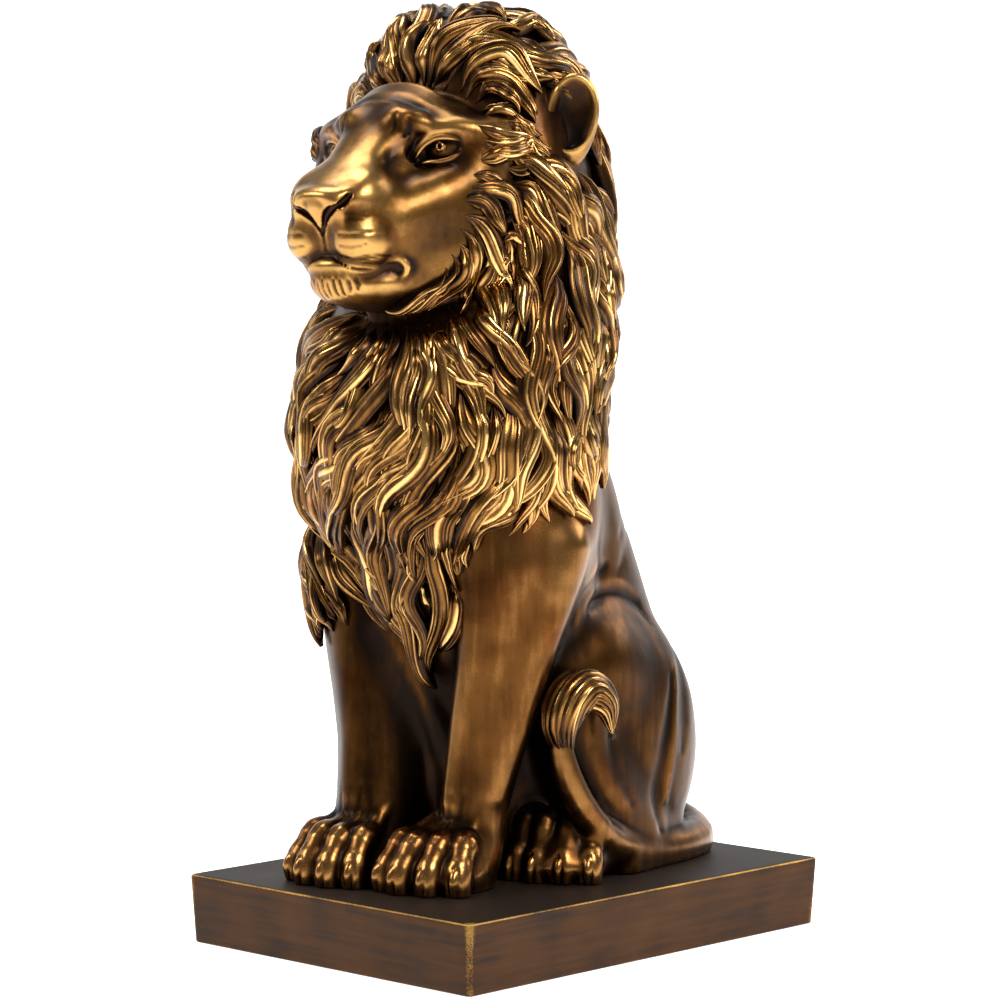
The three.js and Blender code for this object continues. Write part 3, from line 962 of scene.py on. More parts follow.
@dataclass(frozen=True)
class Body(Lion):
    """Torso, legs, haunches, tail and paws, cut into meshes of different fineness."""

    torso_pitch: float = 1.6
    paw_pitch: float = 0.88
    paw_margin: float = 6.0

    @staticmethod
    def leg_muscle() -> list[Stroke]:
        """Long muscles of the forearms, the elbows, and the folds beside the web between the legs."""
        front = ((22, -55.5, 66, 3), (23, -52, 90, 4.5), (27, -49, 118, 6), (31, -46, 146, 8), (33, -40, 170, 8))
        outer = ((34, -44, 70, 3), (38.5, -38, 92, 5), (44, -33, 120, 7), (50, -27, 148, 9), (51, -20, 172, 9))
        elbow = ((33, -16, 118, 7), (37, -7, 138, 9), (40, -1, 160, 9))
        web = ((-15.5, -55, 139, 3.5), (-9, -51, 122, 3.5), (-3, -44, 100, 3.5), (0, -37, 76, 3.5), (1, -32, 52, 3),
               (1, -32, 34, 3))
        strokes = []
        for side, ahead in LEGS_AHEAD:
            stout = 3.5 * (side < 0)
            for path, blend in ((front, 7), (outer, 8), (elbow, 9)):
                joints = tuple((side * (x + stout), y + ahead - 0.5 * stout, z, r) for x, y, z, r in path)
                strokes.append(Stroke(Limb(joints), blend))
        return strokes + [
            Stroke(Limb(web, 12), 12),
            Stroke(Egg((-1, 0, 60), (12, 38, 60)), 8),
            Stroke(Egg((-17, -24, 56), (13, 30, 58)), 8),
        ]

    @staticmethod
    def haunches() -> list[Stroke]:
        """Thigh, knee, shank, hock and long hind foot on each side, with the hamstrings behind."""
        strokes = []
        for side in (1, -1):
            for (x, *rest), radii, turn in (
                ((31, 31, 92), (24.5, 41, 50), -7),
                ((36, 12, 117), (20, 26, 28), -6),
                ((29, 52, 78), (22, 25, 44), -16),
            ):
                strokes.append(Stroke(Egg((side * x, *rest), radii, turn=side * turn), 9))
            for joints, blend in (
                (((35, -4, 116, 14), (38, 1, 88, 14.5), (40, 14, 64, 15), (39, 34, 48, 14)), 8),
                (((34, 58, 42, 12), (39, 34, 41, 13), (42, 10, 43, 14), (44, -3, 40, 11.5)), 6),
            ):
                strokes.append(Stroke(Limb(tuple((side * x, *rest) for x, *rest in joints)), blend))
        return strokes

    @staticmethod
    def tail() -> list[Stroke]:
        """The tail from behind the left haunch, along the plinth and up over the shank."""
        run = (
            (2, 96, 42, 8.4), (16, 97, 39, 8.6), (33, 87, 37, 7.8), (42, 66, 37, 7.2), (46, 43, 38, 7),
            (49.5, 22, 40.5, 7), (52.5, 4, 48, 6.9), (53.5, -10, 61, 6.6), (52.5, -18.5, 76, 6), (51.5, -22, 90, 5),
            (52.5, -20, 100, 2.5),
        )
        foot = tuple((x - 1, y, 32, size) for (x, y, _, _), size in zip(run, (4, 7, 7.5, 7.5, 7.5, 7.5)))
        root = ((0, 74, 96, 6), (-4, 86, 74, 8), (-5, 91, 56, 9), (1, 95, 44, 9), (14, 96.5, 39, 7.5))
        return [Stroke(Limb(root), 9), Stroke(Limb(run, 26), 3), Stroke(Limb(foot, 14), 5)]

    def form(self, low: Array, high: Array, pitch: float) -> Clay:
        """The body's clay in one box, with its folds and hide relief, flat on the plinth.

        Args:
            low: Lowest corner of the box.
            high: Highest corner of the box.
            pitch: Grid spacing of the clay.

        Returns:
            The clay, ready to be meshed.
        """
        paws = [stroke for paw in PAWS for stroke in paw.strokes()]
        clay = Clay(low, high, pitch)
        for stroke in self.trunk() + self.leg_muscle() + self.haunches() + paws + self.tail():
            clay.apply(stroke)
        for groove in body_grooves():
            clay.engrave(groove, np.inf)
        clay.roughen(stone_hide)
        _, (_, _, z) = clay.window()
        clay.values = np.maximum(clay.values, SEAT - z)
        return clay

    def build(self, hide: bpy.types.Material) -> None:
        """Make the body's piece and the four paws', finer.

        Args:
            hide: Finish of all five pieces.
        """
        torso = self.form((-80, -110, 28), (80, 114, 240), self.torso_pitch)
        torso_cut = trimmed(torso, (UPPER,), tuple(PAW_BOXES.values()))
        # The hide's rub mark gets painted shade and painted light from the table of ovals.
        finish_piece(clay_piece("lion_body", torso_cut, torso, torso, painted_shade_and_light), hide)
        for name, box in PAW_BOXES.items():
            low, high = np.array(box.low, float) - self.paw_margin, np.array(box.high, float) + self.paw_margin
            low[2] = 28
            part = self.form(low, high, self.paw_pitch)
            finish_piece(clay_piece(name, trimmed(part, (box,)), part, torso, painted_shade_and_light), hide)


# Head

def on_head(stroke: Stroke) -> Stroke:
    """A stroke given in the head's own frame, set in its place on the statue."""
    return Stroke(OnHead(stroke.shape), stroke.blend, stroke.join)


@dataclass(frozen=True)
class Head:
    """The face: bridge, brows, eyes, muzzle, nose, mouth and chin, all in the head's own frame."""

    pitch: float = 0.77
    eye_pitch: float = 0.44
    back_plane: float = 22.0

    @staticmethod
    def limbs(side: int, *entries: tuple) -> list[Stroke]:
        """Limbs on one side of the face.

        Args:
            side: 1 for the lion's left, -1 for its right.
            entries: Blend, join, and joints given as aside, ahead, up and radius.

        Returns:
            One stroke per entry.
        """
        return [
            Stroke(Limb(tuple((side * a, -f, h, r) for a, f, h, r in joints), 3 * len(joints)), blend, join)
            for blend, join, *joints in entries
        ]

    def masses(self) -> list[Stroke]:
        """Cranium, cheeks, bridge of the nose, brows, cheekbones, whisker pads and chin."""
        bridge = Loft(
            (
                (-50.8, 0, -24, 6, 3, 3), (-49.5, 0, -24, 9.5, 6, 6), (-47, 0, -24, 12.2, 9, 8.2),
                (-42, 0, -22.6, 13.2, 12, 10.4), (-35, 0, -18, 13.6, 15, 11), (-27, 0, -11.8, 14, 18, 11),
                (-19, 0, -4, 14.2, 22, 11), (-12, 0, 2.2, 14.5, 22, 11.6), (-6, 0, 6.6, 15.5, 20, 13),
                (0, 0, 9.6, 18, 20, 14.5), (8, 0, 13, 22, 20, 16),
            ),
            axis=1,
            full=2.3,
        )
        strokes = [
            Stroke(CRANIUM, 1),
            Stroke(CHEEKS, 7),
            Stroke(bridge, 5),
            *self.limbs(1, (2.5, Join.LAY, (-12.4, 41, -21.4, 3.2), (-7.6, 45.2, -20.6, 4.2), (0, 46.6, -21, 4.8),
                            (7.6, 45.2, -20.6, 4.2), (12.4, 41, -21.4, 3.2))),
            Stroke(Slab((0, -51.2, -19.4), (0, 0.87, 0.5)), 1.6, Join.CUT),
        ]
        for side in (1, -1):
            strokes += self.limbs(
                side,
                (8, Join.LAY, (11, 8, 12.6, 4.2), (17, 4.0, 10.8, 4.4), (25, 0.4, 8.9, 4.4), (31, -2.4, 8.5, 4.4),
                 (37, -7, 8, 4.2), (42, -13, 6.6, 3.6), (44, -19, 5.6, 3)),
                (12, Join.LAY, (17, 22, -29.5, 9.6), (23.5, 12.6, -24, 9.5), (30, 1.2, -18, 9.4), (36, -9, -11.5, 8.8),
                 (40.5, -17, -3, 7.4), (42.5, -21, 6, 5.6)),
            )
            for x, y, z, radii, blend, turn in (
                (12.5, -27, -20, (9.5, 15, 12), 7, 14),
                (15.6, -7.4, 12, (2.6, 3.2, 3.2), 5, 0),
                (20.4, -4.0, 11, (2.2, 2.8, 2.8), 5, 0),
                (11.4, -30.2, -36.8, (13.2, 14.4, 11.8), 2.5, 8),
                (12.6, -33, -32.5, (8.5, 10.6, 9), 5, 0),
                (13, -8, -3, (5.6, 6.2, 9.8), 6, 0),
                (15.5, -9.5, -10.5, (6.5, 9, 7), 6, 0),
            ):
                strokes.append(Stroke(Egg((side * x, y, z), radii, turn=side * turn), blend))
        return strokes + [
            Stroke(Egg((0, -14, -54.5), (25, 22, 11)), 6),
            *self.limbs(1, (3, Join.LAY, (0, 38.4, -33, 4.6), (0, 36.8, -40, 4.6))),
            Stroke(Egg((0, -28.6, -47.6), (18.4, 14.6, 6.8)), 1.5),
            Stroke(Egg((0, -28, -55), (15.5, 12.4, 8.4)), 3),
            Stroke(Egg((0, -33.2, -53.4), (12, 8.8, 8)), 2.5),
        ]

    def eyes(self) -> list[Stroke]:
        """Sockets, eyeballs, both lids, the fold over the upper lid, the eye bag and drilled pupils."""
        turns = [k * math.pi / 4 for k in range(9)]
        ring = [(27.6 + 1.6 * math.cos(turn), 1.2, 1.2 + 1.6 * math.sin(turn), 0.6) for turn in turns]
        strokes = []
        for side in (1, -1):
            socket = Egg((side * 26.5, -4.5, -0.4), (12.5, 6.5, 5.6), turn=side * 20, lean=-side * 20)
            ball = Egg((side * 26.6, 7.6, -0.3), (11.6, 8.9, 7.8), turn=side * 20)
            strokes += [Stroke(socket, 2.5, Join.CUT), Stroke(ball, 0.6)] + self.limbs(
                side,
                (1.8, Join.LAY, (13.6, 5.2, -7.6, 1.0), (15.6, 5.0, -3.6, 1.2), (19.4, 4.4, 1.8, 1.3),
                 (25, 3, 6.3, 1.3), (31, 0, 7, 1.2), (36.5, -5, 5.2, 1.0), (40.5, -10, 2.4, 0.8)),
                (0.6, Join.LAY, (15, 4.9, -6.8, 0.9), (17.7, 4.7, -3.4, 1.0), (21, 4.0, 1.0, 1.15),
                 (25.4, 2.8, 4.0, 1.2), (29.4, 1.2, 4.9, 1.2), (33.8, -2.2, 4.2, 1.1), (37.4, -5.6, 2.2, 0.9)),
                (0.7, Join.LAY, (14.4, 5.2, -8.4, 0.8), (18.8, 4.7, -6.9, 0.95), (23.4, 3.8, -5.4, 1.15),
                 (28.8, 2.6, -5.0, 1.25), (32.6, 0.4, -3.9, 1.2), (35.6, -2.8, -1.4, 1.1), (37.4, -5.4, 1.2, 0.9)),
                (0.35, Join.LAY, *ring),
                (0.3, Join.CUT, (27.6, -1.5, 1.2, 0.9), (27.6, 2.5, 1.2, 0.9)),
            )
        return strokes

    def muzzle(self) -> list[Stroke]:
        """Nose leather with nostrils, the split lip, the mouth line and its corners."""
        strokes = self.limbs(1, (2, Join.LAY, (0, 45.4, -23, 4.4), (0, 42.6, -28, 3.6), (0, 41, -32.6, 2.2)))
        for side in (1, -1):
            strokes += self.limbs(
                side,
                (1.0, Join.CUT, (0.3, 43, -34, 0.7), (1.8, 44, -31, 0.8), (3.6, 45.4, -28, 1.3), (6, 46.4, -25.8, 1.7),
                 (8.8, 47, -24.2, 1.6), (11.4, 46.2, -22.8, 1.5), (13.4, 44.8, -21, 1.4), (14.4, 43.4, -19.2, 1.1)),
                (0.6, Join.CUT, (0, 41.4, -41, 0.5), (3.6, 41.4, -43.6, 0.5), (7.3, 40.8, -46.2, 0.5),
                 (11, 39.2, -48, 0.5), (14, 37, -48.8, 0.5), (18, 32, -49.6, 0.5), (21, 27, -50, 0.55),
                 (22.6, 23.5, -50.2, 0.55)),
                (1.2, Join.LAY, (17.6, 27.4, -46.6, 0.8), (20.6, 25.4, -44.6, 1.5), (23.6, 22.4, -44.6, 1.8),
                 (25.4, 20.4, -47.2, 1.8), (24.6, 20, -50.4, 1.5), (22, 21, -52.2, 0.9)),
                (0.8, Join.CUT, (21.6, 25, -48, 1.0), (22.6, 23.6, -50.2, 1.0)),
            )
        return strokes + self.limbs(1, (0.7, Join.CUT, (0, 43.6, -32, 0.5), (0, 42.6, -37, 0.6), (0, 41.6, -41.5, 0.7)))

    def lines(self) -> list[Groove]:
        """Whisker lines, hairs of the chin and creases of the brow, seen from the front."""
        grooves = []
        for side in (1, -1):
            for places, radius, depth in (
                (((12, -28.4), (17, -28.6), (21, -27.6)), 0.5, 0.3),
                (((9, -34.6), (14, -35), (19, -34.6), (23.4, -33.6)), 0.55, 0.45),
                (((8.6, -39.2), (13, -39.8), (17, -39.8), (20.5, -38.8)), 0.6, 0.5),
                (((9, -43.6), (13.5, -44.8), (18, -44.6), (22.6, -43)), 0.55, 0.45),
                (((13, 15.4), (13.6, 11), (13, 6.5)), 0.8, 0.4),
                (((18.2, 13), (18.6, 9.4), (17.2, 5)), 0.8, 0.4),
            ):
                grooves.append(Groove(tuple((side * a, b) for a, b in places), 1, radius, depth, -60, 8))
        for aside, top, low, radius, depth in (
            (-12, -54, -60, 0.5, 0.5), (-9.4, -53.6, -61, 0.5, 0.55), (-6.8, -53.4, -61.4, 0.55, 0.6),
            (-4.2, -53.2, -61.2, 0.5, 0.6), (-1.4, -53.4, -60.4, 0.6, 0.8), (1.4, -53.6, -60, 0.6, 0.8),
            (4.2, -53.4, -60, 0.75, 1.0), (7, -53, -59.2, 0.7, 0.9), (9.8, -52.8, -58.2, 0.7, 0.9),
            (12.2, -52.6, -57, 0.6, 0.8),
        ):
            line = ((aside * 0.97, top), (aside, (top + low) / 2), (aside * 0.95 + 0.3, low))
            grooves.append(Groove(line, 1, radius, depth, -60, -20))
        return grooves

    def form(self, low: Array, high: Array, pitch: float) -> Clay:
        """The head's clay with its lines cut and a fine skin relief, closed behind the face.

        Args:
            low: Lowest corner of a box in the statue's frame.
            high: Highest corner of the box.
            pitch: Grid spacing of the clay.

        Returns:
            The clay, ready to be meshed.
        """
        clay = Clay(low, high, pitch)
        for stroke in self.masses() + self.eyes() + self.muzzle():
            clay.apply(on_head(stroke))
        for groove in self.lines():
            clay.engrave(OnHead(groove), 6)
        clay.roughen(
            lambda p: 0.22 * (layered_noise(p, 14, 5, 2) - 0.5) + 0.1 * (layered_noise(p, 2.4, 9, 2) - 0.5)
        )
        back, crown, nape = (0, self.back_plane, 0), (0, 0, 38), (0, 26, -62)
        for place, way in ((back, (0, -1, 0)), (crown, (0, -0.5, -1)), (nape, (0, -1, 1))):
            clay.apply(Stroke(OnHead(Slab(place, way)), 0.01, Join.CUT))
        return clay

    def build(self, finish: bpy.types.Material) -> None:
        """Make the face's piece and, cut finer, one piece round each eye."""
        head = self.form((-55, -130, 268), (58, -42, 372), self.pitch)
        cut = trimmed(head, (), tuple(EYE_BOXES.values()))
        # The face and eyes get a painted highlight on the eyeballs, painted light on the muzzle and painted shade on
        # forehead and cheeks.
        finish_piece(clay_piece("lion_face", cut, head, head, face_painted_light_and_shade), finish)
        for name, box in EYE_BOXES.items():
            eye = self.form(np.array(box.low) - 3, np.array(box.high) + 3, self.eye_pitch)
            finish_piece(clay_piece(name, trimmed(eye, (box,)), eye, head, face_painted_light_and_shade), finish)


@dataclass(frozen=True)
class Ear:
    """One ear: a thick upright shell with a hollow cup that looks forward and outward."""

    side: int
    pitch: float = 0.75

    def strokes(self) -> list[Stroke]:
        """Shell, root, cup and the fold at the cup's inner edge."""
        s = self.side
        shell = Egg((s * 57.5, 50, 15.6), (11.4, 6.6, 17), turn=s * 38, lean=s * 8)
        cup = Egg((s * 60.3, 46.2, 16), (10, 5.6, 15.4), turn=s * 38, lean=s * 8)
        root = Egg((s * 52, 52, 3), (10, 8, 12))
        fold = Limb(((s * 50.5, 44, 4, 2.2), (s * 50, 43.4, 14, 2.4), (s * 52, 45, 24, 2)), 8)
        return [Stroke(shell, 1), Stroke(root, 7), Stroke(cup, 1.6, Join.CUT), Stroke(fold, 2.5)]

    def build(self, name: str, finish: bpy.types.Material) -> None:
        """Make the ear's piece."""
        aside = sorted((34 * self.side, 74 * self.side))
        places = EYE_LINE + box_corners((aside[0], 34, -14), (aside[1], 66, 38)) @ HEAD_AXES
        clay = Clay(places.min(0), places.max(0), self.pitch)
        for stroke in self.strokes():
            clay.apply(on_head(stroke))
        clay.roughen(lambda p: 0.25 * (layered_noise(p, 7, 31, 2) - 0.5))
        finish_piece(clay_piece(name, clay, clay, clay), finish)


# Mane

FLIP = np.array([-1, 1, 1])
COMB = (
    ((-15, -59, 361), (-26, -56, 370), (-38, -46, 380), (-33, -46, 390)),
    ((-7, -60, 364), (-15, -57, 375), (-17, -52, 386), (-20, -39, 395)),
    ((0, -60, 366), (-4, -58, 377), (-3, -53, 387), (-2, -45, 394)),
    ((5, -59, 367), (4, -56, 378), (6, -52, 387), (6, -46, 392)),
    ((8, -59, 366), (9, -56, 377), (13, -50, 387), (19, -40, 391), (25, -33, 391), (32, -30, 388)),
    ((5, -47, 391), (4, -34, 398), (6, -25, 400), (16, -24, 397), (26, -28, 392)),
    ((22, -37, 391), (30, -29, 389), (27, -14, 392), (34, -14, 387), (39, -14, 381)),
    ((16, -57, 365), (19, -54, 374), (21, -48, 382), (25, -43, 386), (30, -38, 386), (34, -34, 383),
     (40, -32, 377), (44, -23, 374), (45, -10, 372), (39, 7, 368)),
    ((23, -54, 363), (25, -52, 371), (29, -46, 377), (34, -39, 380), (38, -34, 377), (44, -33, 369),
     (47, -30, 363), (50, -29, 358), (52, -30, 349)),
    ((26, -53, 360), (28, -51, 367), (32, -48, 370), (37, -43, 370), (42, -39, 366), (45, -37, 359),
     (48, -36, 354), (50, -35, 349)),
    ((30, -51, 359), (34, -48, 364), (38, -44, 364), (42, -41, 360), (45, -40, 354)),
    ((32, -50, 354), (37, -47, 357), (42, -42, 357), (45, -39, 355)),
    ((34, -50, 348), (38, -47, 350), (42, -44, 350), (45, -42, 346)),
    ((35, -35, 382), (41, -27, 378), (40, -13, 379), (36, 5, 374), (43, 9, 365)),
    ((39, -47, 342), (43, -44, 346), (50, -37, 346), (55, -28, 343), (57, -18, 338), (55, -5, 330),
     (54, 1, 322)),
    ((40, -47, 337), (47, -41, 341), (53, -33, 340), (56, -27, 336), (58, -22, 328), (59, -14, 321),
     (59, -10, 314)),
    ((39, -46, 329), (47, -42, 333), (52, -36, 331), (56, -31, 323), (59, -27, 316), (61, -22, 308),
     (61, -17, 299)),
    ((38, -47, 323), (45, -43, 323), (51, -38, 319), (55, -35, 313), (59, -32, 304), (61, -30, 296)),
    ((37, -48, 317), (43, -44, 319), (49, -40, 316), (54, -37, 308), (57, -35, 301), (59, -35, 293),
     (58, -38, 285), (60, -40, 276)),
    ((35, -50, 308), (43, -46, 310), (49, -42, 308), (53, -40, 302), (55, -40, 294), (55, -42, 287),
     (54, -47, 280)),
    ((34, -52, 302), (42, -48, 303), (49, -44, 301), (52, -42, 295)),
    ((33, -53, 296), (38, -51, 297), (42, -50, 293), (46, -49, 287), (46, -51, 283), (45, -57, 277)),
    ((46, 10, 355), (49, 11, 347), (47, 12, 334), (48, 14, 324), (51, 17, 314), (49, 15, 305),
     (47, 15, 299), (51, 18, 291)),
    ((60, -12, 311), (58, -3, 300), (52, 9, 290), (57, 1, 280), (56, 5, 273), (50, 19, 263)),
    ((59, -27, 314), (61, -21, 303), (61, -10, 295), (60, -7, 285), (63, -15, 276), (62, -12, 264)),
    ((-8, -77, 272), (-20, -81, 268), (-39, -77, 262), (-54, -70, 255), (-58, -70, 246), (-56, -70, 236),
     (-46, -78, 227), (-44, -78, 216)),
    ((-3, -85, 264), (-13, -89, 257), (-23, -91, 248), (-31, -89, 238), (-28, -90, 226), (-32, -84, 214),
     (-36, -77, 200)),
    ((-58, -72, 231), (-60, -71, 220), (-58, -70, 208), (-54, -68, 200), (-54, -66, 192), (-50, -62, 182)),
    ((12, -83, 264), (16, -88, 254), (19, -90, 245), (12, -92, 236), (1, -94, 224), (-15, -89, 210),
     (-31, -78, 198), (-43, -70, 186), (-37, -73, 180), (-30, -70, 173)),
    ((15, -82, 265), (25, -86, 252), (30, -85, 244), (27, -86, 233), (21, -89, 222), (10, -89, 212),
     (-3, -86, 200), (-13, -80, 188), (-29, -68, 176), (-26, -68, 166), (-19, -63, 156), (-9, -64, 148),
     (-10, -56, 135)),
    ((6, -83, 265), (9, -89, 255), (4, -94, 246), (-6, -94, 236), (-14, -93, 224), (-24, -86, 210)),
    ((35, -82, 239), (39, -78, 229), (39, -76, 218), (33, -77, 210), (26, -79, 202), (18, -78, 192),
     (14, -76, 181), (10, -74, 170)),
    ((31, -84, 249), (33, -83, 236), (34, -82, 225), (29, -82, 214), (19, -84, 205), (6, -83, 196),
     (-3, -80, 183), (-2, -76, 170)),
    ((37, -70, 268), (32, -76, 263), (33, -80, 256), (39, -79, 249), (46, -72, 245), (52, -65, 244),
     (53, -63, 237)),
    ((43, -75, 242), (48, -70, 233), (49, -67, 224), (45, -67, 212), (38, -70, 202), (29, -72, 193),
     (21, -74, 184), (15, -73, 175)),
    ((53, -63, 237), (53, -62, 227), (50, -62, 216), (46, -64, 207), (37, -69, 199), (29, -70, 190)),
    ((56, -58, 234), (58, -52, 224), (56, -50, 215), (52, -53, 205), (45, -58, 197), (36, -65, 192),
     (30, -68, 185), (26, -66, 176), (24, -62, 167), (23, -54, 156)),
    ((60, -49, 233), (60, -43, 222), (58, -38, 213), (55, -41, 205), (50, -47, 198), (45, -54, 194),
     (39, -61, 191)),
    ((63, -34, 243), (62, -20, 233), (61, -20, 223), (58, -26, 214), (56, -24, 206)),
    ((63, -26, 239), (62, -19, 226), (59, -16, 213), (56, -13, 202), (52, -10, 189)),
    ((56, 4, 277), (49, 18, 265), (50, 12, 255), (61, -9, 247), (62, -16, 236), (59, -12, 225)),
    ((58, 0, 234), (60, 2, 224), (58, -2, 213), (54, -4, 202), (50, -4, 190)),
    ((41, -57, 280), (44, -62, 271), (50, -62, 265), (55, -57, 259), (59, -52, 249), (60, -49, 242)),
    ((34, -75, 264), (40, -75, 257), (47, -70, 252), (52, -66, 249)),
    ((58, -45, 274), (62, -42, 264), (62, -41, 254), (61, -46, 246), (60, -47, 235)),
    ((63, -31, 278), (64, -25, 267), (64, -29, 256), (63, -37, 248), (62, -39, 238), (62, -33, 226)),
    ((22, -75, 187), (22, -69, 176), (21, -65, 165), (19, -59, 154), (14, -55, 142), (5, -52, 130),
     (4, -50, 120)),
    ((5, -75, 170), (-1, -71, 159), (2, -65, 146), (0, -56, 133), (2, -49, 122), (4, -46, 114)),
    ((-50, -69, 178), (-46, -68, 167), (-43, -66, 156), (-38, -63, 142)),
    ((-40, -69, 172), (-33, -65, 165), (-27, -61, 157), (-20, -58, 148), (-13, -55, 136)),
    ((23, -56, 159), (21, -51, 150), (15, -46, 139), (8, -47, 130)),
    ((54, -34, 202), (52, -26, 196), (50, -18, 188), (49, -14, 181)),
    ((-55, -64, 192), (-53, -67, 178), (-46, -71, 167), (-41, -72, 156), (-34, -71, 141)),
    ((-47, -73, 186), (-41, -72, 173), (-35, -71, 162), (-31, -70, 148)),
    ((-37, -73, 178), (-31, -71, 164), (-26, -68, 154), (-19, -64, 144)),
)

MENDS = (
    ((46, -41, 298), (50, -42, 288), (54, -41, 278), (56, -44, 268), (55, -49, 257)),
    ((50, -45, 291), (52, -46, 282), (53, -47, 273), (55, -49, 263)),
)


def mirrored(points: Array) -> Array:
    """Places on the other side of the mane's middle plane, x = -4."""
    return (points - [-4, 0, 0]) * FLIP + [-4, 0, 0]


def spacing(points: Array, others: Array) -> Array:
    """Distance of each point from the nearest of the others, worked out in parts to save memory."""
    parts = np.array_split(points, 24)
    return np.concatenate([np.sqrt(((part[:, None] - others[None]) ** 2).sum(2)).min(1) for part in parts])


@dataclass
class Comb:
    """Which way the hair runs: combed lines read off the statue, and a rule where there are none."""

    reach: float = 11.0
    places: Array = None
    ways: Array = None
    weight: Array = None

    def __post_init__(self) -> None:
        """Turn the combed lines, and their mirror images where the real ones are far, into samples."""
        paths = [smooth_path(line, 4 * len(line)) for line in COMB]
        here = np.concatenate([(path[1:] + path[:-1]) / 2 for path in paths])
        way = np.concatenate([unit(np.diff(path, axis=0)) for path in paths])
        there = mirrored(here)
        far = spacing(there, here) > 17
        self.places = np.concatenate([here, there[far]])
        self.ways = np.concatenate([way, (way * FLIP)[far]])
        self.weight = np.concatenate([np.ones(len(here)), np.full(far.sum(), 0.8)])

    def rule(self, points: Array, out: Array) -> Array:
        """Where no line is near, hair runs away from the face, backwards over the crown, then down in waves.

        Args:
            points: Places on the ground, one row each.
            out: Outward directions there.

        Returns:
            One direction per row, not scaled to unit length.
        """
        local = to_head(points)
        radial = unit(np.stack([local[:, 0], np.zeros(len(points)), local[:, 2] + 18], axis=1) @ HEAD_AXES)
        near = np.exp(-np.maximum(local[:, 1] - 2, 0) / 26) * (local[:, 2] > -78)
        down = smooth_step(-points[:, 2], -392.0, -330.0) * 0.9 + 0.25
        way = radial * (1.1 * near)[:, None]
        way += np.array([0, 1, 0]) * (0.75 * smooth_step(points[:, 2], 290.0, 372.0))[:, None]
        way += np.array([0, 0, -1]) * down[:, None]
        way -= out * (way * out).sum(1, keepdims=True)
        way = unit(way)
        drift = layered_noise(points, 55, 77, 1) * 2.2
        around = np.arctan2(points[:, 0] + 5, points[:, 1] + 25)
        wave = np.sin(2 * np.pi * (points[:, 2] / 62 + drift + around * 0.35))
        strong = 0.62 * smooth_step(-points[:, 2], -372.0, -330.0) + 0.2
        return way + np.cross(way, out) * (wave * strong)[:, None]

    def way(self, points: Array, out: Array) -> Array:
        """Unit direction of the hair at points: nearby combed lines, blended by distance, and a little rule."""
        square = ((points[:, None] - self.places[None]) ** 2).sum(2)
        share = np.exp(-square / (2 * self.reach ** 2)) * self.weight
        way = share @ self.ways + 0.18 * self.rule(points, out)
        way -= out * (way * out).sum(1, keepdims=True)
        return unit(way)


class Region(Enum):
    """The parts that the mane is split into, so that no mesh gets too large."""

    CROWN = "mane_crown"
    LEFT = "mane_left"
    RIGHT = "mane_right"
    CHEST = "mane_chest"
    NAPE = "mane_nape"


FACE_EDGE = (
    (0, 23), (10, 23), (22, 21), (33, 18), (38, 12), (40.5, 4), (41, -8), (41, -22), (40, -36),
    (37, -47), (32, -55), (25, -60), (14, -63), (0, -64),
)


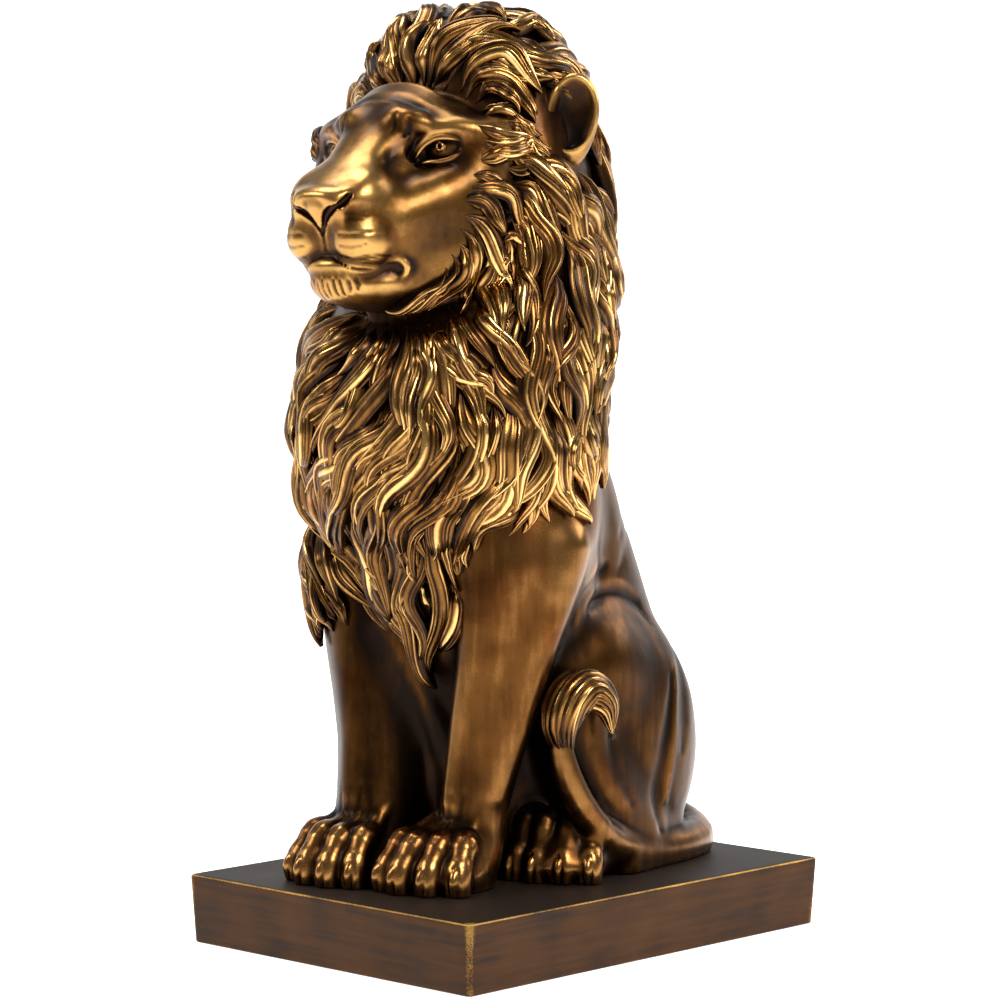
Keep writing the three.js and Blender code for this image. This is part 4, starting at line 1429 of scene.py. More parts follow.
@dataclass
class Mane(Lion):
    """The mane: a core, and locks laid over it in rows from the face outwards."""

    filler: int = 300
    rounds: int = 6
    seed: int = 7
    pitch: float = 2.3
    form: LockForm = LockForm()
    core: Clay = None
    ground: Clay = None
    comb: Comb = None

    def __post_init__(self) -> None:
        """Build the core, and the ground that locks are laid on, which has the shoulders too."""
        self.core = Clay((-86, -108, 112), (80, 62, 402), self.pitch)
        side_tuft = Egg((-40, -52, 162), (19, 20, 30), tip=-10)
        for shape, blend in (
            (MANE_CORE, 1), (BIB, 10), (side_tuft, 8), (OnHead(CRANIUM), 9), (OnHead(CHEEKS), 9)
        ):
            self.core.apply(Stroke(shape, blend))
        self.ground = self.core.copy()
        for stroke in self.trunk():
            self.ground.apply(Stroke(stroke.shape, 8))
        for stroke in Head().masses():
            if stroke.join is Join.LAY:
                self.ground.apply(on_head(stroke))
                self.core.apply(on_head(stroke))
        self.comb = Comb()

    def settle(self, points: Array, rounds: int = 3) -> Array:
        """Move points along the field's gradient onto the ground."""
        return self.ground.pull(points, 2.0, 0.2, 8, rounds)

    def off_face(self, points: Array) -> Array:
        """How far points are outside the face opening, in millimetres; negative inside it."""
        local = to_head(points)
        edge = np.array(FACE_EDGE, float)
        path = smooth_path(np.concatenate([edge, edge[::-1] * [-1, 1]]), 160)
        flat = local[:, [0, 2]]
        here, rim = ((np.arctan2(at[:, 1] + 20, at[:, 0]), np.hypot(at[:, 0], at[:, 1] + 20)) for at in (flat, path))
        order = np.argsort(rim[0])
        limit = np.interp(here[0], rim[0][order], rim[1][order], period=2 * np.pi)
        nearest = spacing(flat, path)
        return np.maximum(np.where(here[1] > limit, nearest, -nearest), local[:, 1] - 24)

    def off_cups(self, points: Array) -> Array:
        """Distance of points from the nearer ear's cup."""
        cups = [OnHead(Egg((s * 60.3, 45, 16), (10, 5.6, 15.4), turn=s * 38, lean=s * 8)) for s in (1, -1)]
        return np.minimum(*[cup.distance(*points.T) for cup in cups])

    def trace(self, roots: Array, lengths: Array, rng: np.random.Generator) -> Array:
        """Follow the comb from roots over the ground, swinging to both sides in waves 34 to 52 mm long.

        Args:
            roots: One place per lock.
            lengths: Length of each lock.
            rng: Draws the length, the width and the start of each lock's waves.

        Returns:
            (locks, steps, 3) paths that lie on the ground.
        """
        here, count = self.settle(roots), (len(roots), 1)
        swing = rng.uniform(0.25, 0.75, count)
        start = layered_noise(here, 50, 41, 1)[:, None] * 9 + rng.normal(0, 0.6, count)
        steps = self.form.steps - 1
        turn = 2 * np.pi * lengths[:, None] / rng.uniform(34, 52, count) / steps
        path, way = [here], None
        for step in range(steps):
            out = self.ground.normals(here)
            new = self.comb.way(here, out)
            new = new + np.cross(new, out) * swing * np.sin(start + turn * step)
            way = new if way is None else unit(0.55 * new + 0.45 * way)
            here = self.settle(here + way * (lengths / steps)[:, None], 1)
            path.append(here)
        return np.stack(path, axis=1)

    def cut_short(self, paths: Array, margin: Array) -> tuple[Array, Array]:
        """End each path where it leaves the mane's core for the bare shoulder, or reaches an ear's cup.

        Args:
            paths: (locks, steps, 3).
            margin: How far past the core, in millimetres, each lock may run.

        Returns:
            Paths spread evenly again over what is left, and the share that is left.
        """
        locks, steps = paths.shape[:2]
        places = paths.reshape(-1, 3)
        gap = np.where(self.off_cups(places) < 4.5, FAR, self.core.sample(places)).reshape(locks, steps)
        beyond = gap > margin[:, None]
        first = np.maximum(np.where(beyond.any(1), beyond.argmax(1), steps - 1), 1)
        at = np.linspace(0, 1, steps)[None] * first[:, None]
        base = np.minimum(at.astype(int), steps - 2)
        part = (at - base)[..., None]
        rows = np.arange(locks)[:, None]
        return paths[rows, base] * (1 - part) + paths[rows, base + 1] * part, first / (steps - 1)

    def sound(self, paths: Array) -> Array:
        """Which paths stay on the ground, out of the face, and start clear of the ears' cups."""
        places = paths.reshape(-1, 3)
        front = np.where(places[:, 2] > 345, -63.5, -103)
        astray = (np.abs(self.ground.sample(places)) > 4) | (places[:, 1] < front)
        face = (self.off_face(places) < -5).reshape(paths.shape[:2]) & (np.arange(paths.shape[1]) > 2)
        cup = self.off_cups(paths[:, 2]) < 5
        return ~(cup | astray.reshape(paths.shape[:2]).any(1) | face.any(1))

    def combed(self) -> tuple[Array, Array]:
        """Paths along the combed lines and, where the other side is bare, their mirror images.

        Returns:
            The paths, and 1 for each line's own or 0 for an image.
        """
        lines = [np.array(line, float) for line in COMB]
        everything = np.concatenate(lines)
        images = [image for image in map(mirrored, lines) if spacing(image, everything).mean() > 15]
        paths = np.array([smooth_path(line, self.form.steps) for line in lines + images])
        paths = self.settle(paths.reshape(-1, 3)).reshape(paths.shape)
        for _ in range(2):
            paths[:, 1:-1] = 0.25 * paths[:, :-2] + 0.5 * paths[:, 1:-1] + 0.25 * paths[:, 2:]
        return paths, np.repeat([1.0, 0.0], [len(lines), len(images)])

    def fringe_roots(self, beyond: float, every: float) -> Array:
        """Roots in a row round the face.

        Args:
            beyond: How far outside the face's edge the row runs.
            every: Distance between neighbouring roots.

        Returns:
            One place per lock, found by going back from the face until the ground is met.
        """
        edge = np.array(FACE_EDGE, float)
        edge = edge + beyond * unit(edge - [0, -20])
        edge = np.concatenate([edge, edge[::-1][1:-1] * [-1, 1]])
        path = smooth_path(np.vstack([edge, edge[:1]]), 600)
        length = np.concatenate([[0], np.cumsum(np.linalg.norm(np.diff(path, axis=0), axis=1))])
        at = np.arange(0, length[-1], every)
        flat = np.stack([np.interp(at, length, path[:, k]) for k in range(2)], axis=1)
        back = np.linspace(-45, 28, 74)
        roots = []
        for aside, up in flat[flat[:, 1] < 13]:
            line = EYE_LINE + np.stack([np.full(74, aside), back, np.full(74, up)], axis=1) @ HEAD_AXES
            inside = self.ground.sample(line) < 0
            roots.append(line[inside.argmax()] if inside.any() else line[-1])
        roots = np.array(roots)
        return roots[self.ground.normals(self.settle(roots))[:, 2] > -0.4]

    def fill(self, paths: Array, rng: np.random.Generator) -> Array:
        """Paths for the bare places, in rounds, each laid where the ground is farthest from all before it.

        The face's left side and front are filled more closely.

        Args:
            paths: The locks that are there already.
            rng: Draws the choice among bare places and each lock's length.

        Returns:
            The new paths, without those that stray or curl up.
        """
        points, _ = self.ground.skin()
        keep = (self.core.sample(points) < 3.5) & (self.off_face(points) > 3) & (points[:, 2] > 124)
        keep &= (points[:, 2] < 345) | (points[:, 1] > -55)
        points = points[keep][::2]
        points = points[self.ground.normals(points)[:, 2] > -0.5]
        shown = 1 + 0.35 * np.clip(self.ground.normals(points) @ [0.69, -0.72, 0.1], 0, 1)
        gap = spacing(points, paths[:, 1:-2:2].reshape(-1, 3))
        made = []
        for _ in range(self.rounds):
            chosen, left = [], gap * shown * rng.uniform(0.85, 1.15, len(points))
            for _ in range(self.filler // self.rounds):
                chosen.append(points[np.argmax(left)])
                left = np.minimum(left, np.linalg.norm(points - chosen[-1], axis=1))
            roots = np.array(chosen)
            lengths = rng.uniform(46, 80, len(roots)) * np.where(roots[:, 2] > 350, 0.75, 1)
            back = roots - self.comb.way(roots, self.ground.normals(roots)) * (lengths * 0.28)[:, None]
            new = self.trace(np.where((self.off_face(back) > 2)[:, None], back, roots), lengths, rng)
            step = unit(np.diff(new, axis=1))
            curled = (step[:, 3:] * step[:, :-3]).sum(2).min(1) < 0.1
            new = new[self.sound(new) & ~curled]
            gap = np.minimum(gap, spacing(points, new[:, 3:-3:2].reshape(-1, 3)))
            made.append(new)
        return np.concatenate(made)

    def locks(self) -> dict[Region, Hair]:
        """All locks, sorted into the regions of the mane."""
        rng, form = np.random.default_rng(self.seed), self.form
        roots = np.concatenate([self.fringe_roots(0, 5.4), self.fringe_roots(8, 9.0)])
        fringe = self.trace(roots, rng.uniform(28, 50, len(roots)), rng)
        combed, own = self.combed()
        filler = self.fill(np.concatenate([fringe, combed]), rng)
        paths = np.concatenate([fringe, combed, filler])
        rows = len(fringe), len(own), len(filler)
        ranges = ((3.2, 4.8), (0.85, 1.15), (4.8, 7.6)), ((2.2, 3.6), (0.85, 1.15), (3.4, 5.4))
        width, height = ([rng.uniform(*span, count) for span, count in zip(spans, rows)] for spans in ranges)
        width[1] *= np.where(own > 0, 5.2, 5.8)
        height[1] *= 5.0
        width, height = np.concatenate(width), np.concatenate(height)
        margin = rng.uniform(1.5, 7, len(paths))
        margin[rows[0]:rows[0] + rows[1]] += 9 * own
        paths, left = self.cut_short(paths, margin)
        keep = (left > 0.22) & self.sound(paths)
        paths, width, height = paths[keep], width[keep], height[keep]
        run = np.linalg.norm(np.diff(paths, axis=1), axis=2).sum(1)
        width = np.minimum(width * np.clip(left[keep] + 0.2, 0.5, 1), 0.15 * run)
        height = np.minimum(height, 0.16 * run)
        out = self.ground.normals(paths.reshape(-1, 3)).reshape(paths.shape)
        aside, back, up = paths[:, form.steps // 3].T
        region = np.select([up > 340, back > 4, aside < -30, aside > 22], [0, 4, 2, 1], 3)
        made = {}
        for number, name in enumerate(Region):
            mine, every = region == number, 1
            hair = Hair(form)
            if name is Region.NAPE:
                hair, every = Hair(LockForm(steps=form.steps // 2, across=17)), 2
            hair.lay(paths[mine, ::every], out[mine, ::every], width[mine], height[mine], self.seed + number)
            made[name] = hair
            LOG.info("%s: %d locks", name.value, mine.sum())
        for number, line in enumerate(MENDS):
            path = self.settle(smooth_path(line, form.steps))
            out = self.ground.normals(path)
            made[Region.LEFT].lay(path[None], out[None], np.array([4.8]), np.array([4.2]), 90 + number)
        return made

    def build(self, finish: bpy.types.Material) -> None:
        """Make the dark ground between the locks, sunk a little and kept out of the face, and the locks."""
        clay = self.core.copy()
        clay.values += 1.5
        clay.apply(Stroke(OnHead(Egg((0, -20, -21), (46, 50, 46))), 3, Join.CUT))
        points, faces = clay.skin()
        finish_piece(make_piece("mane_ground", points, faces, np.full(len(points), 0.24)), finish)
        for region, hair in self.locks().items():
            points, faces, wear = hair.meshes()
            # Painted shade and painted light from the table of ovals are added to the locks' wear.
            wear = np.clip(wear + painted_shade_and_light(points), 0, 1)
            finish_piece(make_piece(region.value, points, faces, wear), finish)


@dataclass(frozen=True)
class Tuft:
    """The brush at the tail's end: locks that curl over the thigh to one point."""

    spine: tuple = (
        (52.5, -19.5, 84), (51.5, -22.5, 97), (53, -19, 108), (56.5, -11, 112), (60, -3, 105), (60.5, 0.5, 91)
    )
    count: int = 11
    form: LockForm = LockForm(steps=30, across=17, lift_root=-1.0, lift_tip=0.6, heave=0.3, strand=3.2)

    def build(self, finish: bpy.types.Material) -> None:
        """Lay locks round the curled spine, fanned at the middle and gathered at the tip."""
        rng = np.random.default_rng(3)
        spine = smooth_path(self.spine, self.form.steps)
        along = unit(np.gradient(spine, axis=0))
        side = unit(np.cross(along, [1.0, 0.1, 0.0]))
        out = np.cross(side, along)
        t = np.linspace(0, 1, self.form.steps)
        radius = 9.6 * np.sin(np.pi * np.clip(0.17 + 0.83 * t, 0, 1)) ** 0.8 + 0.3
        turns = np.linspace(-2.1, 2.1, self.count) + rng.normal(0, 0.06, self.count)
        ray = np.cos(turns)[:, None, None] * out[None] + np.sin(turns)[:, None, None] * side[None]
        paths = spine[None] + ray * (radius - 2.2)[None, :, None]
        hair = Hair(self.form)
        hair.lay(paths, ray, rng.uniform(3.2, 4.2, self.count), rng.uniform(2.4, 3.2, self.count), 5)
        finish_piece(make_piece("tail_tuft", *hair.meshes()), finish)


# Plinth

@dataclass(frozen=True)
class Plinth:
    """A rectangular block with slightly sloping sides and worn edges."""

    edge: float = 1.2
    corner: float = 1.8
    draft: float = 1.4
    around: int = 300

    def profile(self) -> Array:
        """Inset and height from the underside's middle out, up the side and to the middle of the top."""
        turn = np.linspace(0, np.pi / 2, 9)[1:-1]
        below = [(self.draft + self.edge * 0.6 + step, 0.0) for step in (70, 30, 8, 0)]
        lower = [(self.draft + self.edge * (1 - np.sin(a)) * 0.6, self.edge * (1 - np.cos(a)) * 0.6) for a in turn]
        rise = np.linspace(self.edge * 0.6, SEAT - self.edge, 22)
        side = [(self.draft * (1 - (z - rise[0]) / (rise[-1] - rise[0])), z) for z in rise]
        upper = [(self.edge * (1 - np.cos(a)), SEAT - self.edge * (1 - np.sin(a))) for a in turn]
        inward = [(self.edge + step, SEAT) for step in (0.4, 1.2, 3, 7, 15, 30, 55, 82)]
        return np.array(below + lower + side + upper + inward)

    def rim(self, half: Array) -> Array:
        """Places on the outline: straight sides joined by quarter circles, counter-clockwise.

        They stand closer on the corners: spacing goes with the 0.55th power of the straight pieces.

        Args:
            half: Half the outline's width and length.

        Returns:
            One row per place.
        """
        turn = np.linspace(0, np.pi / 2, 9)
        nodes = []
        for quarter, (sx, sy) in enumerate(((1, 1), (-1, 1), (-1, -1), (1, -1))):
            around = quarter * np.pi / 2 + turn
            centre = np.array([sx, sy]) * (half - self.corner)
            nodes.extend(centre + self.corner * np.stack([np.cos(around), np.sin(around)], axis=1))
        closed = []
        for a, b in zip(nodes, nodes[1:] + nodes[:1]):
            closed.extend(np.linspace(a, b, 13)[:-1] if np.linalg.norm(b - a) > 20 else [a])
        closed = np.array(closed + closed[:1])
        length = np.concatenate([[0], np.cumsum(np.linalg.norm(np.diff(closed, axis=0), axis=1) ** 0.55)])
        at = np.linspace(0, 1, self.around, endpoint=False) * length[-1]
        return np.stack([np.interp(at, length, closed[:, k]) for k in range(2)], axis=1)

    def wear(self, profile: Array, ring: Array) -> Array:
        """The rub mark: a bell 0.75 mm wide on the top edge, a weaker one on the bottom edge and the corners.

        Args:
            profile: Insets and heights.
            ring: The outline.

        Returns:
            One mark per point of the grid, outline by profile.
        """
        inset, height = profile.T
        top = np.abs(height - (SEAT - self.edge * 0.3)) + np.maximum(inset - self.edge * 0.4, 0)
        low = np.abs(height - 0.3) + np.maximum(inset - 2.2, 0)
        edges = np.maximum(np.exp(-(top / 0.75) ** 2), 0.7 * np.exp(-(low / 0.8) ** 2))
        normal = np.roll(ring, -1, axis=0) - np.roll(ring, 1, axis=0)
        normal = unit(np.stack([normal[:, 1], -normal[:, 0]], axis=1))
        bend = np.linalg.norm(np.roll(normal, -3, axis=0) - np.roll(normal, 3, axis=0), axis=1)
        upright = np.clip(bend / 0.9, 0, 1)[:, None] * (height > 0.5) * (inset < 3)
        return np.maximum(edges[None], 0.85 * upright)

    def build(self, finish: bpy.types.Material) -> None:
        """Carry the profile round the outline, each ring shrunk by its inset, and close it by two fans."""
        half, middle = (PLINTH_HIGH - PLINTH_LOW)[:2] / 2, (PLINTH_HIGH + PLINTH_LOW)[:2] / 2
        profile, ring = self.profile(), self.rim(half)
        inset = np.minimum(profile[:, 0], half.min() - 1)
        flat = ring[:, None, :] * ((half[None] - inset[:, None]) / half)[None]
        rows, columns = flat.shape[:2]
        height = np.broadcast_to(profile[:, 1][None, :, None], (rows, columns, 1))
        points = np.concatenate([flat + middle, height], axis=2).reshape(-1, 3)
        i, j = np.meshgrid(np.arange(rows), np.arange(columns - 1), indexing="ij")
        here, after = i * columns + j, (i + 1) % rows * columns + j
        k = np.arange(rows)
        own, following = k * columns, (k + 1) % rows * columns
        low = np.stack([np.full(rows, len(points)), following, own], -1)
        high = np.stack([np.full(rows, len(points) + 1), own + columns - 1, following + columns - 1], -1)
        faces = np.concatenate([cell_faces(here, after, after + 1, here + 1), low, high])
        points = np.concatenate([points, [[*middle, 0.0], [*middle, SEAT]]])
        marks = np.concatenate([self.wear(profile, ring).reshape(-1), [0, 0]])
        finish_piece(make_piece("plinth_block", points, faces, marks), finish, "plinth")


# Materials

def linear(colour: str) -> tuple:
    """An sRGB hex colour as linear RGBA: ((c + 0.055) / 1.055)^2.4 above 0.04045, else c / 12.92."""
    parts = [int(colour[k:k + 2], 16) / 255 for k in (1, 3, 5)]
    return (*[((c + 0.055) / 1.055) ** 2.4 if c > 0.04045 else c / 12.92 for c in parts], 1.0)


def add_node(tree: bpy.types.NodeTree, kind: str, settings: dict = None, inputs: dict = None) -> bpy.types.Node:
    """Add a shader node.

    Args:
        tree: Where it goes.
        kind: Blender's name of the node type, less its first word, ShaderNode.
        settings: Values of the node's own properties.
        inputs: Values or sockets for its inputs, by name or number.

    Returns:
        The node.
    """
    node = tree.nodes.new("ShaderNode" + kind)
    for name, value in (settings or {}).items():
        setattr(node, name, value)
    for name, value in (inputs or {}).items():
        if isinstance(value, bpy.types.NodeSocket):
            tree.links.new(value, node.inputs[name])
        else:
            node.inputs[name].default_value = value
    return node


def set_ramp(node: bpy.types.Node, stops: tuple) -> bpy.types.NodeSocket:
    """Give a colour ramp its stops (place, hex colour) and return its colour socket."""
    ramp = node.color_ramp
    while len(ramp.elements) > 1:
        ramp.elements.remove(ramp.elements[-1])
    for number, (place, colour) in enumerate(stops):
        stop = ramp.elements[0] if number == 0 else ramp.elements.new(place)
        stop.position = place
        stop.color = linear(colour)
    return node.outputs["Color"]


def empty_material(name: str) -> tuple[bpy.types.Material, bpy.types.NodeTree]:
    """A new material and its node tree, with nothing in it."""
    material = bpy.data.materials.new(name)
    material.use_nodes = True
    material.node_tree.nodes.clear()
    return material, material.node_tree


def add_shader(tree: bpy.types.NodeTree, inputs: dict) -> None:
    """End a tree with one shader of the given inputs and the output."""
    shader = add_node(tree, "BsdfPrincipled", {}, inputs)
    add_node(tree, "OutputMaterial", {}, {0: shader.outputs[0]})


@dataclass(frozen=True)
class BronzedResin:
    """Cast polyester resin, sprayed dark bronze, rubbed with gold wax on the crests and lacquered.

    To the eye it is a metal that is brown and dull in the hollows and golden and shiny where hands reach.
    """

    name: str
    recess: str = "#140a04"
    shade: str = "#35200e"
    bronze: str = "#74501f"
    gold: str = "#bd9350"
    copper: str = "#c58a66"
    copper_share: float = 0.35
    rub_low: float = 0.12
    rub_high: float = 0.86
    rough_low: float = 0.24
    rough_high: float = 0.42
    coat: float = 0.08
    streak: float = 0.35
    polish: float = 0.0

    def build(self) -> bpy.types.Material:
        """The node material.

        Colour runs from recess to gold along the rub mark, which also holds painted shade and painted light, shifted by
        blotches 18 mm across, by brush streaks 3 mm wide that run down the piece, and by grain. Real grain of 0.2 mm
        would not show, so it is drawn at 0.9 mm. Patches 30 mm across turn towards copper. The paws, below 68 mm, are
        polished.

        Returns:
            The material.
        """
        material, tree = empty_material(self.name)
        places = add_node(tree, "TexCoord").outputs["Object"]
        # The mark: gold rub, with painted shade and painted light on the lion's pieces.
        mark = add_node(tree, "Attribute", {"attribute_name": "rub_and_painted_light"}).outputs["Fac"]
        drawn = add_node(tree, "Mapping", {}, {"Vector": places, "Scale": (1.0, 1.0, 0.1)}).outputs["Vector"]
        blotch, streaks, grain, patch = (
            add_node(tree, "TexNoise", {}, {"Vector": where, "Scale": 1 / (size * MM), "Detail": detail}).outputs["Fac"]
            for where, size, detail in ((places, 18, 3.0), (drawn, 3, 3.0), (places, 0.9, 2.0), (places, 30, 1.0))
        )

        def shifted(base: bpy.types.NodeSocket, noise: bpy.types.NodeSocket, gain: float) -> bpy.types.NodeSocket:
            """Base moved up and down by noise."""
            centred = add_node(tree, "Math", {"operation": "SUBTRACT"}, {0: noise, 1: 0.5}).outputs[0]
            return add_node(tree, "Math", {"operation": "MULTIPLY_ADD"}, {0: centred, 1: gain, 2: base}).outputs[0]

        def ranged(value: bpy.types.NodeSocket, **ends: float) -> bpy.types.NodeSocket:
            """Value mapped from one range to another and held between its ends."""
            inputs = {"Value": value, **{name.replace("_", " "): end for name, end in ends.items()}}
            return add_node(tree, "MapRange", {}, inputs).outputs["Result"]

        rubbed = shifted(shifted(shifted(mark, blotch, 0.45), streaks, self.streak), grain, 0.12)
        height = add_node(tree, "SeparateXYZ", {}, {0: places}).outputs["Z"]
        paws = ranged(height, From_Min=68 * MM, From_Max=46 * MM, To_Max=self.polish)
        rubbed = add_node(tree, "Math", {"operation": "ADD"}, {0: rubbed, 1: paws}).outputs[0]
        spread = ranged(rubbed, From_Min=self.rub_low, From_Max=self.rub_high)
        stops = ((0.0, self.recess), (0.22, self.shade), (0.58, self.bronze), (1.0, self.gold))
        colour = set_ramp(add_node(tree, "ValToRGB", {}, {"Fac": spread}), stops)
        toned = add_node(
            tree, "Mix", {"data_type": "RGBA", "blend_type": "MULTIPLY"}, {0: 1.0, 6: colour, 7: linear(self.copper)}
        )
        tint = ranged(patch, From_Min=0.5, From_Max=0.68, To_Max=self.copper_share)
        coppery = add_node(tree, "Mix", {"data_type": "RGBA"}, {0: tint, 6: colour, 7: toned.outputs[2]})
        bump = {"Height": shifted(grain, streaks, 0.6), "Strength": 0.12, "Distance": 0.25 * MM}
        add_shader(
            tree,
            {
                "Base Color": coppery.outputs[2],
                "Metallic": ranged(spread, From_Max=0.3, To_Min=0.94, To_Max=1.0),
                "Roughness": ranged(spread, To_Min=self.rough_high, To_Max=self.rough_low),
                "Normal": add_node(tree, "Bump", {}, bump).outputs["Normal"],
                "Coat Weight": self.coat,
                "Coat Roughness": 0.16,
            },
        )
        return material


@dataclass(frozen=True)
class PlinthResin:
    """The same resin sprayed dark brown, brushed along its sides, its edges rubbed back to gold.

    To the eye it is a satin brown block with faint level streaks and thin, broken lines of gold.
    """

    name: str = "brown_sprayed_resin"
    top: str = "#1e1611"
    side: str = "#3d240d"
    light: str = "#4a2f17"
    gold: str = "#c89a4e"

    def build(self) -> bpy.types.Material:
        """Level streaks 2.4 mm high on the sides, a plain dark top, and gold along the rub mark.

        Returns:
            The material.
        """
        material, tree = empty_material(self.name)
        places = add_node(tree, "TexCoord").outputs["Object"]
        mark = add_node(tree, "Attribute", {"attribute_name": "rub_and_painted_light"}).outputs["Fac"]
        level = add_node(tree, "Mapping", {}, {"Vector": places, "Scale": (0.06, 0.06, 1.0)}).outputs["Vector"]
        streaks, cloud, grain = (
            add_node(tree, "TexNoise", {}, {"Vector": where, "Scale": 1 / (size * MM), "Detail": detail}).outputs["Fac"]
            for where, size, detail in ((level, 2.4, 4.0), (places, 26, 3.0), (places, 0.7, 2.0))
        )

        def scaled(value: bpy.types.NodeSocket, gain: float, base: object) -> bpy.types.NodeSocket:
            """Value times gain plus base, which is a number or a socket."""
            return add_node(tree, "Math", {"operation": "MULTIPLY_ADD"}, {0: value, 1: gain, 2: base}).outputs[0]

        mixed = scaled(cloud, 0.4, scaled(streaks, 0.4, 0.1))
        ramp = add_node(tree, "ValToRGB", {}, {"Fac": mixed})
        side = set_ramp(ramp, ((0.36, self.top), (0.52, self.side), (0.72, self.light)))
        normal = add_node(tree, "NewGeometry").outputs["Normal"]
        up = add_node(tree, "SeparateXYZ", {}, {0: normal}).outputs["Z"]
        flat = add_node(tree, "MapRange", {}, {"Value": up, "From Min": 0.75, "From Max": 0.97}).outputs["Result"]
        body = add_node(tree, "Mix", {"data_type": "RGBA"}, {0: flat, 6: side, 7: linear(self.top)})
        worn = mark
        for noise in (scaled(grain, 0.6, -0.3), scaled(cloud, 0.9, -0.55)):
            worn = add_node(tree, "Math", {"operation": "ADD"}, {0: worn, 1: noise}).outputs[0]
        gilt = add_node(tree, "MapRange", {}, {"Value": worn, "From Min": 0.6, "From Max": 1.1}).outputs["Result"]
        gilded = add_node(tree, "Math", {"operation": "MULTIPLY"}, {0: gilt, 1: mark}).outputs[0]
        colour = add_node(tree, "Mix", {"data_type": "RGBA"}, {0: gilded, 6: body.outputs[2], 7: linear(self.gold)})
        rough = add_node(tree, "MapRange", {}, {"Value": streaks, "To Min": 0.5, "To Max": 0.62}).outputs["Result"]
        bump = add_node(tree, "Bump", {}, {"Height": mixed, "Strength": 0.15, "Distance": 0.2 * MM})
        add_shader(
            tree,
            {
                "Base Color": colour.outputs[2],
                "Metallic": gilded,
                "Roughness": rough,
                "Normal": bump.outputs["Normal"],
                "Specular IOR Level": 0.12,
            },
        )
        return material


# Studio

@dataclass(frozen=True)
class Studio:
    """Camera at the photograph's angle, a pale floor and backdrop, and soft light from large boxes."""

    camera_place: tuple = (1.0419, -1.0918, 0.2934)
    target: tuple = (-0.0047, 0.0, 0.1886)
    focal: float = 126.0
    sky: float = 0.24
    glow: float = 0.8
    lights: tuple = (
        ("key", (1.35, -0.35, 1.25), 0.7, 27),
        ("fill", (-0.9, -1.5, 1.4), 0.8, 18),
        ("rim", (0.7, 1.4, 1.1), 0.9, 18),
        ("side", (-1.5, -0.7, 0.45), 0.8, 3),
        ("top", (-0.4, -0.1, 1.7), 0.8, 18),
    )

    def build(self) -> None:
        """Set up camera, world, floor and lights. Each light is a square box: name, place, edge in m and watts."""
        scene = bpy.context.scene
        data = bpy.data.cameras.new("camera")
        data.lens = self.focal
        data.sensor_width = data.sensor_height = 36
        data.sensor_fit = "AUTO"
        data.clip_end = 50
        scene.camera = self.aim(data, self.camera_place, self.target)
        scene.view_settings.view_transform = "Standard"
        scene.world = bpy.data.worlds.new("studio")
        scene.world.use_nodes = True
        sky = scene.world.node_tree.nodes["Background"]
        sky.inputs["Color"].default_value = (1.0, 1.0, 1.0, 1.0)
        sky.inputs["Strength"].default_value = self.sky
        self.paper()
        for name, place, size, power in self.lights:
            data = bpy.data.lights.new(name, "AREA")
            data.shape, data.size, data.energy = "SQUARE", size, power
            self.aim(data, place, (0, 0, 0.2))

    @staticmethod
    def aim(data: bpy.types.ID, place: tuple, target: tuple) -> bpy.types.Object:
        """Put a camera or light at a place, turned towards a target, and return its object."""
        thing = bpy.data.objects.new(data.name, data)
        thing.location = place
        thing.rotation_euler = (Vector(target) - Vector(place)).to_track_quat("-Z", "Y").to_euler()
        bpy.context.scene.collection.objects.link(thing)
        return thing

    def paper(self) -> None:
        """A pale floor and a backdrop of the same white paper behind the statue: it glows a little, unlit."""
        material, tree = empty_material("white_studio_paper")
        add_shader(
            tree,
            {
                "Base Color": linear("#f4f3f1"),
                "Roughness": 0.9,
                "Emission Color": (1.0, 1.0, 1.0, 1.0),
                "Emission Strength": self.glow,
            },
        )
        size, far, tall = 4.0, 3.0, 4.0
        left, right = (-size - far, size - far), (size - far, size + far)
        for name, corners in (
            ("floor", [(-size, -size, 0), (size, -size, 0), (size, size, 0), (-size, size, 0)]),
            ("backdrop", [(*left, -0.1), (*right, -0.1), (*right, tall), (*left, tall)]),
        ):
            mesh = bpy.data.meshes.new(name)
            mesh.from_pydata(corners, [], [(0, 1, 2, 3)])
            mesh.materials.append(material)
            sheet = bpy.data.objects.new(name, mesh)
            sheet.location.z = -0.0002
            bpy.context.scene.collection.objects.link(sheet)


HIDE = BronzedResin(
    "bronzed_resin_hide", shade="#2a1808", bronze="#583818", gold="#94693a", rub_low=0.0, rub_high=1.0,
    streak=0.28, polish=0.16, copper_share=0.5, coat=0.02,
)
FACE = BronzedResin(
    "bronzed_resin_face", shade="#341f0d", bronze="#63431d", gold="#b48a4d", rub_low=0.05, rub_high=0.98,
    rough_low=0.29, copper_share=0.5, streak=0.12,
)
LOCKS = BronzedResin(
    "bronzed_resin_locks", recess="#1a0e06", shade="#422810", bronze="#795325", gold="#e2b670",
    rough_low=0.16, rough_high=0.36,
)


def finish_piece(
    piece: bpy.types.Object, material: bpy.types.Material, node: str = "lion"
) -> None:
    """Dress a piece, tie it to the body, and hide the CAD node that it replaces.

    Args:
        piece: The mesh object.
        material: Its finish.
        node: The CAD node that it replaces.
    """
    piece.data.materials.append(material)
    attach(piece, "root")
    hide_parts(node)
    LOG.info("%s: %d points, %d faces", piece.name, len(piece.data.vertices), len(piece.data.polygons))


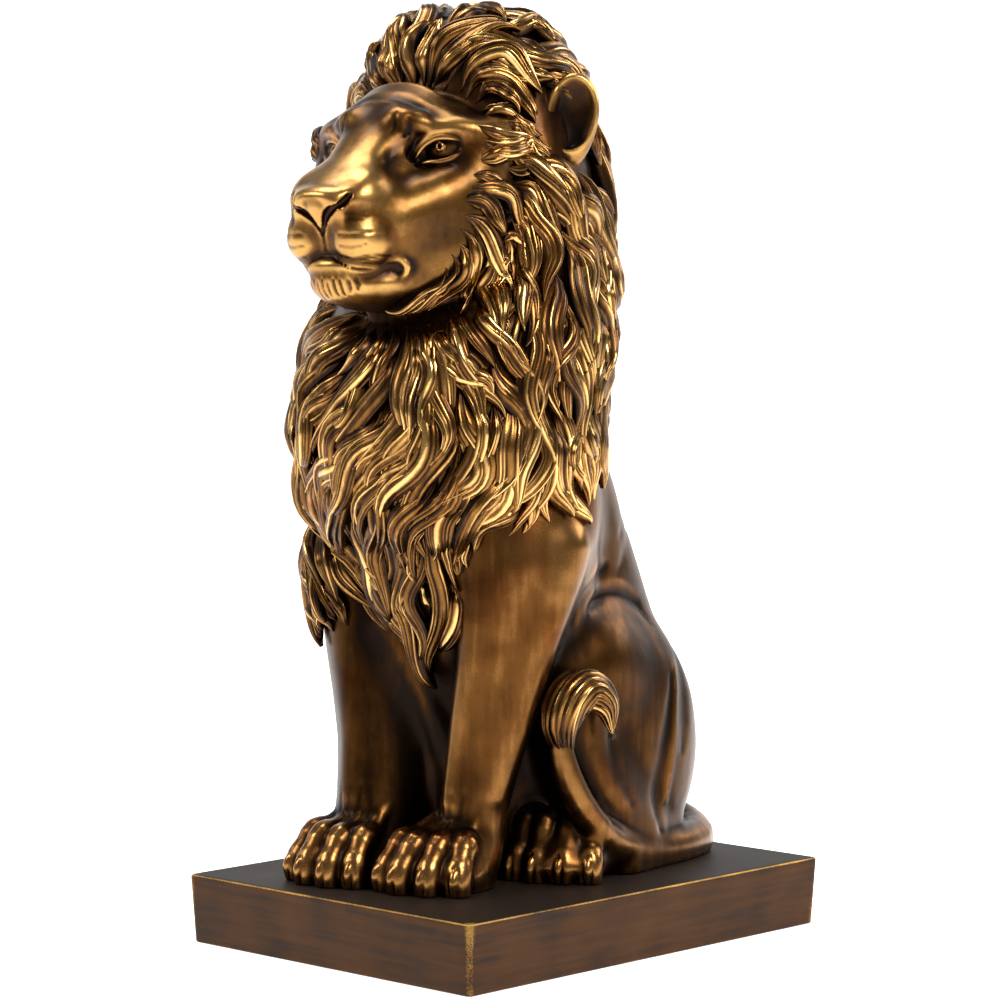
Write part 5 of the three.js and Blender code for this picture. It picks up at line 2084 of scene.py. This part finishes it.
def face_painted_light_and_shade(points: Array) -> Array:
    """Extra rub that paints a highlight on the eyeballs, 0.35 exp(-(d / 9 mm)^4), and light on the muzzle; less rub, as
    painted shade, on forehead and cheeks.
    """
    local = to_head(points)
    gap = np.linalg.norm(np.abs(local) * [1, 0, 1] + local * [0, 1, 0] - [27, -6, 0.5], axis=1)
    eyes = 0.35 * np.exp(-((gap / 9) ** 4)) * (np.abs(local[:, 2]) < 12)
    cheek = ((np.abs(local[:, 0]) - 36) / 15) ** 2 + ((local[:, 2] + 30) / 17) ** 2
    muzzle = 0.24 * smooth_step(-local[:, 1], 14, 32)
    # Painted light on the muzzle, painted shade on the forehead and cheeks.
    return eyes + muzzle - 0.14 * smooth_step(local[:, 2], 4, 16) - 0.13 * np.exp(-cheek)


# Ovals (centre, radii, gain): painted shadow on the right foreleg, painted shade on the left thigh and between the
# forelegs, painted light on the left shoulder, and the lower bib made darker.
PAINTED_SHADE_AND_LIGHT = (
    ((-30, -48, 92), (27, 34, 74), -0.4),
    ((40, 30, 88), (34, 62, 66), -0.2),
    ((2, -30, 96), (16, 34, 52), -0.2),
    ((44, -22, 182), (26, 34, 36), 0.3),
    ((0, -68, 168), (60, 34, 44), -0.12),
)


def painted_shade_and_light(points: Array) -> Array:
    """Painted shade and painted light on hide and mane: each place's gain times exp(-k^4) of its oval."""
    total = np.zeros(len(points))
    for centre, radii, gain in PAINTED_SHADE_AND_LIGHT:
        total += gain * np.exp(-(((points - centre) / radii) ** 2).sum(1) ** 2)
    return total


def clay_piece(name: str, clay: Clay, shape: Clay, broad: Clay, extra: Callable = None) -> bpy.types.Object:
    """Mesh a clay block.

    Args:
        name: The piece's name.
        clay: The block to mesh.
        shape: The whole form, before any trimming, from which normals and rub are read.
        broad: The block that the painted shade of shut-in places is read from.
        extra: Gives what is added to the rub at points, painted light and painted shade.

    Returns:
        The piece.
    """
    points, faces = clay.skin()
    used, numbers = np.unique(faces, return_inverse=True)
    points, faces = points[used], numbers.reshape(faces.shape)
    rub_and_painted_light = shape.rub_and_painted_light(points, broad)
    if extra:
        rub_and_painted_light = np.clip(rub_and_painted_light + extra(points), 0, 1)
    piece = make_piece(name, points, faces, rub_and_painted_light)
    piece.data.normals_split_custom_set_from_vertices(shape.normals(points))
    return piece


def main() -> None:
    """Build every piece in order and report it."""
    logging.basicConfig(level=logging.INFO, format="%(name)s %(message)s")
    Studio().build()
    Plinth().build(PlinthResin().build())
    hide, face, locks = HIDE.build(), FACE.build(), LOCKS.build()
    Body().build(hide)
    Head().build(face)
    for side, name in ((1, "lion_ear_left"), (-1, "lion_ear_right")):
        Ear(side).build(name, face)
    Mane().build(locks)
    Tuft().build(locks)


if __name__ == "__main__":
    main()
